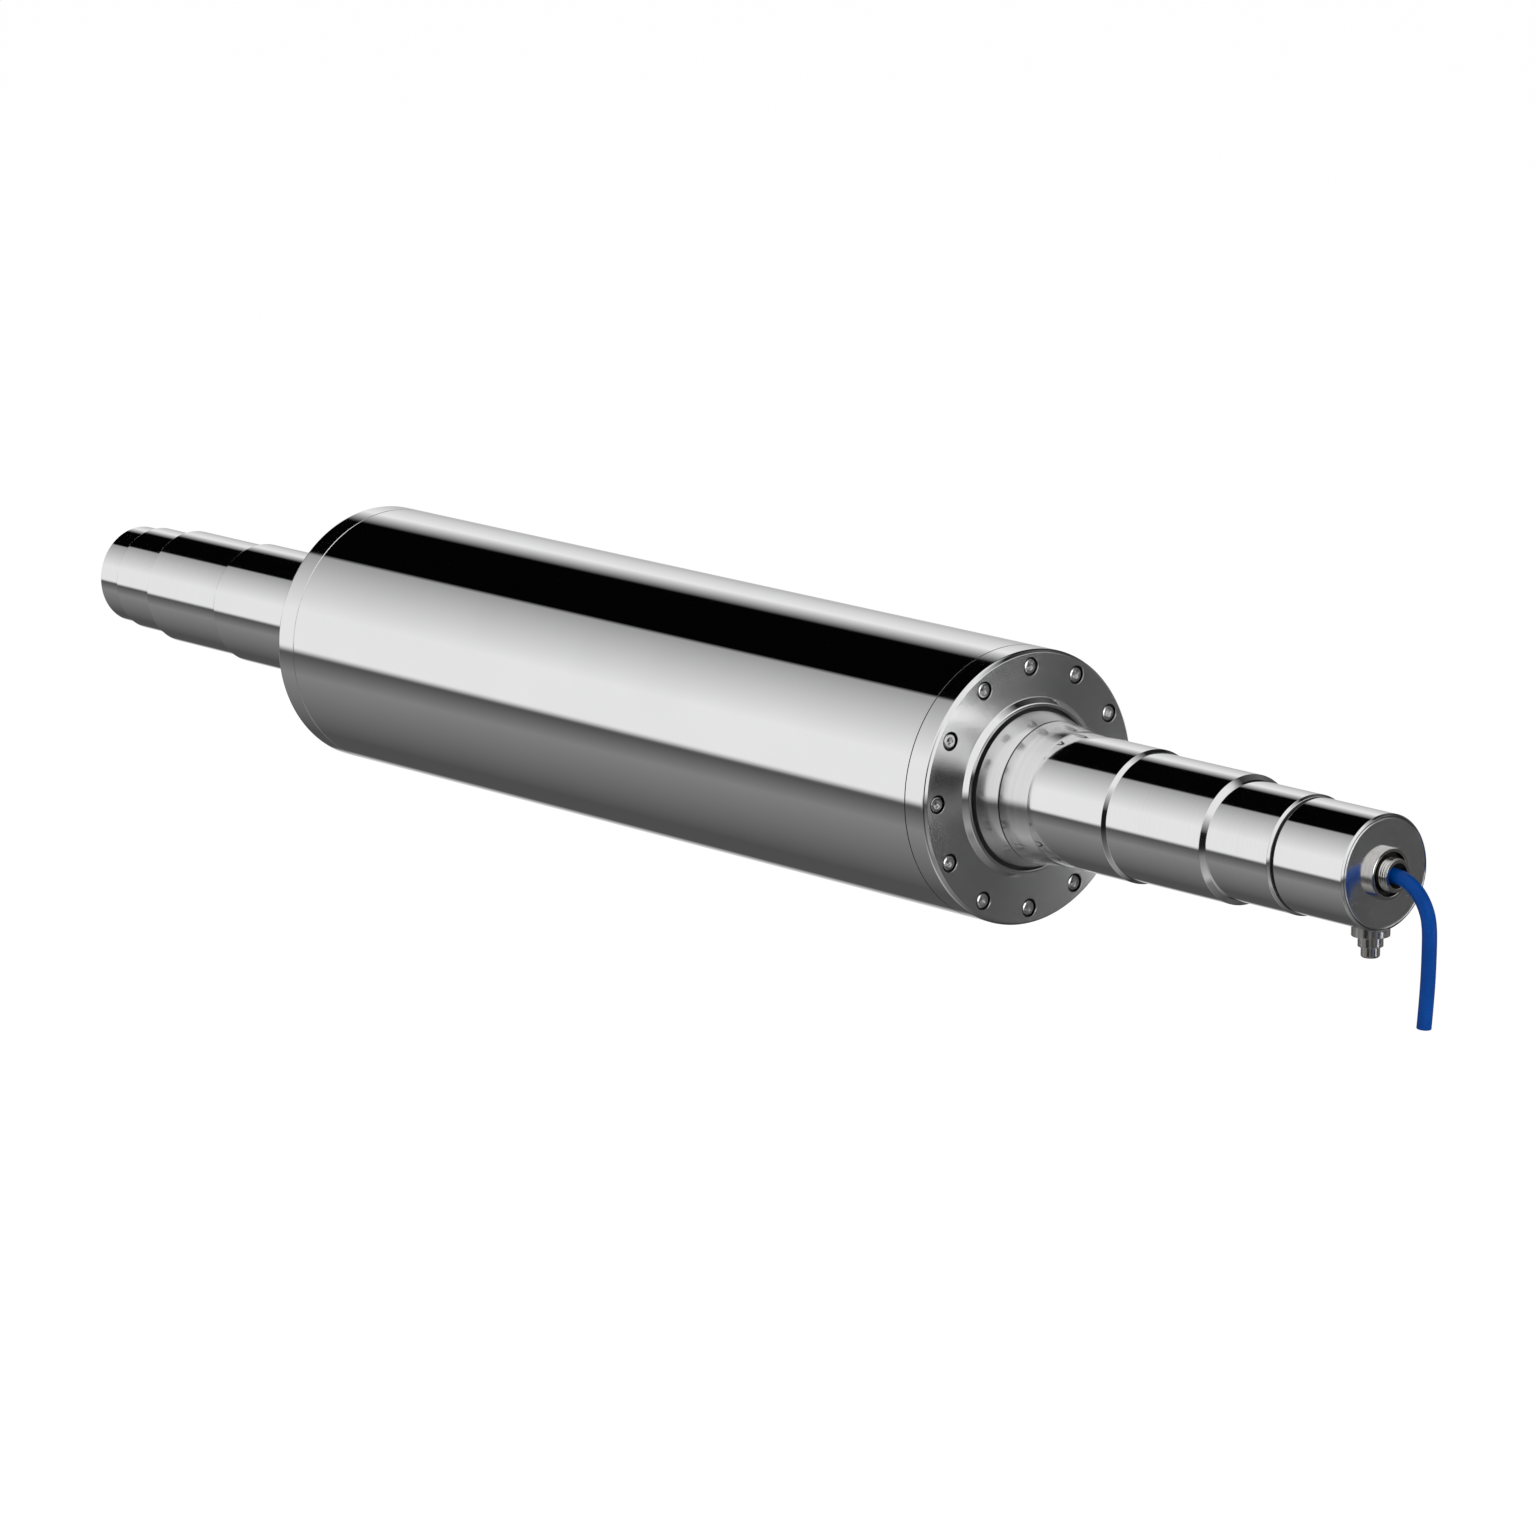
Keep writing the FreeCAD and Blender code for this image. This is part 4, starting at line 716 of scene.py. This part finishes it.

# %% [markdown]
# ## Handing out the finishes
# Each solid of the frame names the finish it needs, so one loop dresses all that still show. The new
# pieces take theirs from the slot that they were given. Some carry more than one: a collar is turned and
# the seats beyond it are ground, a flange's face is turned with a coarser tool, and grooves, gaps and the
# floors of the screws' holes get painted shade, a dark finish where shade would fall. Loose faces could be
# picked by hand, but each such area is a band round the axis, so a table gives its two places and two radii.

# %% Handing out the finishes
for node in frame["nodes"].values():
    for slot in node.material_slots:
        slot.material = finishes[slot.material.name.split(".")[0]]
new_pieces = [shell, near_journal, far_journal, near_flange, far_flange, screws, head_cup, end_disc,
              gland, mouth, saddle, coupling, cap, cable]
for piece in new_pieces:
    piece.data.materials.append(finishes[piece["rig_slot"]])


def refinish(piece, finish_name, places, radii):
    """A further finish for a band of faces: between two places, counted in millimetres outwards from the
    shell's end, and between two distances from the axis."""
    mesh = piece.data
    middles = np.empty(len(mesh.polygons) * 3)
    mesh.polygons.foreach_get("center", middles)
    middles = middles.reshape(-1, 3) * 1000
    place = np.abs(middles[:, 0] - SHELL_MIDDLE) - SHELL_END
    radius = np.hypot(middles[:, 1], middles[:, 2])
    inside = (place > places[0]) & (place < places[1]) & (radius > radii[0]) & (radius < radii[1])
    index = np.empty(len(mesh.polygons), np.int32)
    mesh.polygons.foreach_get("material_index", index)
    index[inside] = len(mesh.materials)
    mesh.materials.append(finishes[finish_name])
    mesh.polygons.foreach_set("material_index", index)
    mesh.update()
    print(piece.name, "gets", finish_name, "on", int(inside.sum()), "faces")


FAR = math.inf
BANDS = [
    # the journals' collar and taper, and painted shade in the groove between them
    ((near_journal, far_journal), "collar_steel", (-FAR, 90), (-FAR, FAR)),
    ((near_journal, far_journal), "painted_joint_shade", (56.25, 57.75), (60, FAR)),
    # the flanges' faces, the head's end disc and painted shade on the joint round it
    ((near_flange, far_flange), "turned_face", (26.99, FAR), (82, 122)),
    ((end_disc,), "end_disc", (472.4, FAR), (-FAR, 47)),
    ((head_cup,), "painted_joint_shade", (472.4, FAR), (48, 49.4)),
    # painted shade in the gland's recess, on the floors of the screws' holes and on the seam between shell
    # and flange
    ((gland,), "painted_joint_shade", (474.4, 478.6), (13.5, 19.6)),
    ((near_flange, far_flange), "painted_joint_shade", (8, 19), (98, 122)),
    ((shell, near_flange), "painted_joint_shade", (-0.6, 0.6), (124.2, FAR)),
]
for pieces, finish_name, places, radii in BANDS:
    for piece in pieces:
        refinish(piece, finish_name, places, radii)
print("dressed", len(frame["nodes"]), "solids and", len(new_pieces), "new pieces")

# %% [markdown]
# ## The studio
# Chrome has no look of its own: it shows the room. The room here is a soft tent round the roll's axis. Its
# long part, which the shell shows, has a bright wall in front, darker above, a black panel over the top,
# light again behind, and a grey floor with a crisp edge where it meets the wall. Its end, which the bevels
# and shoulders show, has two sets of walls of its own. The flat faces look into the back corner, grey
# below and light above, and a lamp beside it draws a fan of light on the turned flange. Only mirrored light
# sees the tent. The world is plain white to the camera and plain soft light to dull surfaces.
#
# These panels follow brightness readings of the photograph, made coarse, so they aren't independent of the
# readings.

# %% The tent's panels: degrees round the roll's axis, and a tone from 0, black, to 1, white
FLOOR_EDGE = -20
WALL_FOOT = -15
BLACK_PANEL = (75, 125)
LONG_WALLS = [
    (-180, .7), (-150, .8), (-135, .3), (-105, .3), (-40, .5), (FLOOR_EDGE, .3), (WALL_FOOT, .9), (20, .9),
    (BLACK_PANEL[0] - 1, .6), (BLACK_PANEL[0], 0), (BLACK_PANEL[1], 0), (145, .9), (180, .7)]
BRIGHT_END = [
    (-180, .4), (-110, .2), (-65, .7), (WALL_FOOT, .3), (-5, .9), (100, .9), (120, .1), (150, .1), (180, .4)]
DARK_END = [
    (-180, .5), (-105, .3), (-65, .5), (WALL_FOOT, .1), (10, .1), (50, .9), (90, .9), (115, .1), (180, .5)]
CHROME = 0.9


def as_light(tone):
    """The light of a tone from 0 to 1, on the scale that displays use: ((tone + 0.055) / 1.055) ^ 2.4."""
    return ((tone + 0.055) / 1.055) ** 2.4


def grey(tone):
    """A panel's colour, made up for the share of light that chrome takes away."""
    return (as_light(tone) / CHROME,) * 3 + (1,)


def between(tree, value, low, high):
    """0 below low, 1 above high and a smooth rise from one to the other."""
    return add_node(tree, "ShaderNodeMapRange", {"Value": value, "From Min": low, "From Max": high},
                    interpolation_type="SMOOTHSTEP").outputs[0]


def times(tree, first, second):
    """The product of two values."""
    return add_node(tree, "ShaderNodeMath", {0: first, 1: second}, operation="MULTIPLY").outputs[0]


def mixed_light(tree, share, first, second):
    """A colour between two, each of them a node's output or a plain colour."""
    return add_node(tree, "ShaderNodeMix", {0: share, 6: first, 7: second}, data_type="RGBA").outputs[2]


def walls(tree, share, panels):
    """A colour ramp with a stop for each (degrees, tone), the degrees from -180 to 180."""
    ramp = add_node(tree, "ShaderNodeValToRGB", {0: share})
    stops = ramp.color_ramp.elements
    for _ in panels[2:]:
        stops.new(0.5)
    for stop, (degrees, tone) in zip(stops, panels):
        stop.position = degrees / 360 + 0.5
        stop.color = grey(tone)
    return ramp.outputs[0]


CORNER_FLOOR = 0.3
CORNER_WALL = 0.9
LAMP_TOWARDS = (0.896, 0.433, -0.095)
LAMP_STRENGTH = 5.0
LAMP_EDGE = 8  # degrees from the lamp's middle where its light begins
LAMP_FULL = 5  # and where it is at its full strength


def tent_colour(tree, direction):
    """The long walls, the end walls, the back corner and the end lamp, mixed by the direction's parts."""
    along, across, up = add_node(tree, "ShaderNodeSeparateXYZ", {0: direction}).outputs
    front = times(tree, across, -1.0)
    angle = add_node(tree, "ShaderNodeMath", {0: up, 1: front}, operation="ARCTAN2").outputs[0]
    share = add_node(tree, "ShaderNodeMapRange", {
        "Value": angle, "From Min": -math.pi, "From Max": math.pi}).outputs[0]
    shaded = add_node(tree, "ShaderNodeMath", {
        0: between(tree, along, -0.1, 0.15),
        1: times(tree, between(tree, along, 0.5, 0.57), between(tree, along, 0.76, 0.72))},
        operation="SUBTRACT", use_clamp=True).outputs[0]
    end_walls = mixed_light(tree, shaded, walls(tree, share, BRIGHT_END), walls(tree, share, DARK_END))
    round_the_roll = mixed_light(tree, between(tree, along, -0.66, -0.54),
                                 walls(tree, share, LONG_WALLS), end_walls)
    corner = times(tree, between(tree, along, 0.4, 0.6), between(tree, across, 0.05, 0.3))
    behind = mixed_light(tree, between(tree, up, 0.1, 0.3), grey(CORNER_FLOOR), grey(CORNER_WALL))
    whole = mixed_light(tree, corner, round_the_roll, behind)
    facing = add_node(tree, "ShaderNodeVectorMath", {0: direction, 1: LAMP_TOWARDS},
                      operation="DOT_PRODUCT").outputs["Value"]
    lamp = between(tree, facing, math.cos(math.radians(LAMP_EDGE)), math.cos(math.radians(LAMP_FULL)))
    return mixed_light(tree, lamp, whole, (LAMP_STRENGTH,) * 3 + (1,))


print("the tent has", len(LONG_WALLS), "stops along the roll and", len(BRIGHT_END + DARK_END), "at its end")

# %% The world
SOFT_LIGHT = 0.36
world = bpy.data.worlds.new("soft_tent")
bpy.context.scene.world = world
world.use_nodes = True
tree = world.node_tree
tree.nodes.clear()
direction = add_node(tree, "ShaderNodeTexCoord").outputs["Generated"]
ray = add_node(tree, "ShaderNodeLightPath").outputs
mirrored = add_node(tree, "ShaderNodeMath", {0: ray["Is Glossy Ray"], 1: ray["Is Transmission Ray"]},
                    operation="MAXIMUM").outputs[0]
soft = add_node(tree, "ShaderNodeMix", {
    0: ray["Is Camera Ray"], 6: (SOFT_LIGHT,) * 3 + (1,), 7: (1, 1, 1, 1)}, data_type="RGBA").outputs[2]
shown = add_node(tree, "ShaderNodeMix", {0: mirrored, 6: soft, 7: tent_colour(tree, direction)},
                 data_type="RGBA").outputs[2]
background = add_node(tree, "ShaderNodeBackground", {"Color": shown})
add_node(tree, "ShaderNodeOutputWorld", {0: background.outputs[0]})
world.cycles.sampling_method = "NONE"
print("world:", world.name)

# %% [markdown]
# ## Floor and lamp
# A wide white floor lies well below the roll. The chrome doesn't see it, because the tent already has a
# floor. One large lamp in front gives the cable its shape.

# %% Floor and lamp
FLOOR_REACH = 90
FLOOR_HEIGHT = -0.6
FLOOR_GLOW = 0.88
FLOOR_PAINT = 0.32
floor_mesh = bpy.data.meshes.new("studio_floor")
floor_mesh.from_pydata([(x * FLOOR_REACH, y * FLOOR_REACH, FLOOR_HEIGHT)
                        for x, y in ((-1, -1), (1, -1), (1, 1), (-1, 1))], [], [(0, 1, 2, 3)])
floor = bpy.data.objects.new("studio_floor", floor_mesh)
bpy.context.collection.objects.link(floor)
floor.visible_glossy = False
floor_paint = bpy.data.materials.new("white_floor")
floor_paint.use_nodes = True
tree = floor_paint.node_tree
tree.nodes.clear()
glow = add_node(tree, "ShaderNodeEmission", {"Color": (FLOOR_GLOW,) * 3 + (1,)})
matt = add_node(tree, "ShaderNodeBsdfDiffuse", {"Color": (FLOOR_PAINT,) * 3 + (1,)})
paint = add_node(tree, "ShaderNodeAddShader", {0: glow.outputs[0], 1: matt.outputs[0]})
add_node(tree, "ShaderNodeOutputMaterial", {0: paint.outputs[0]})
floor_mesh.materials.append(floor_paint)


def softbox(name, place, aim, width, power):
    """A square lamp that lights dull surfaces only, so the chrome keeps the tent's picture."""
    lamp = bpy.data.lights.new(name, "AREA")
    lamp.size = width
    lamp.energy = power
    thing = bpy.data.objects.new(name, lamp)
    bpy.context.collection.objects.link(thing)
    thing.location = place
    back = np.array(place, float) - np.array(aim, float)
    thing.rotation_euler = (math.acos(back[2] / np.linalg.norm(back)), 0,
                            math.atan2(back[1], back[0]) + math.pi / 2)
    thing.visible_glossy = False
    return thing


front_lamp = softbox("front_softbox", (2.3, -0.9, 1.5), (-0.2, 0, 0), 1.6, 62)
print("floor and", front_lamp.name)
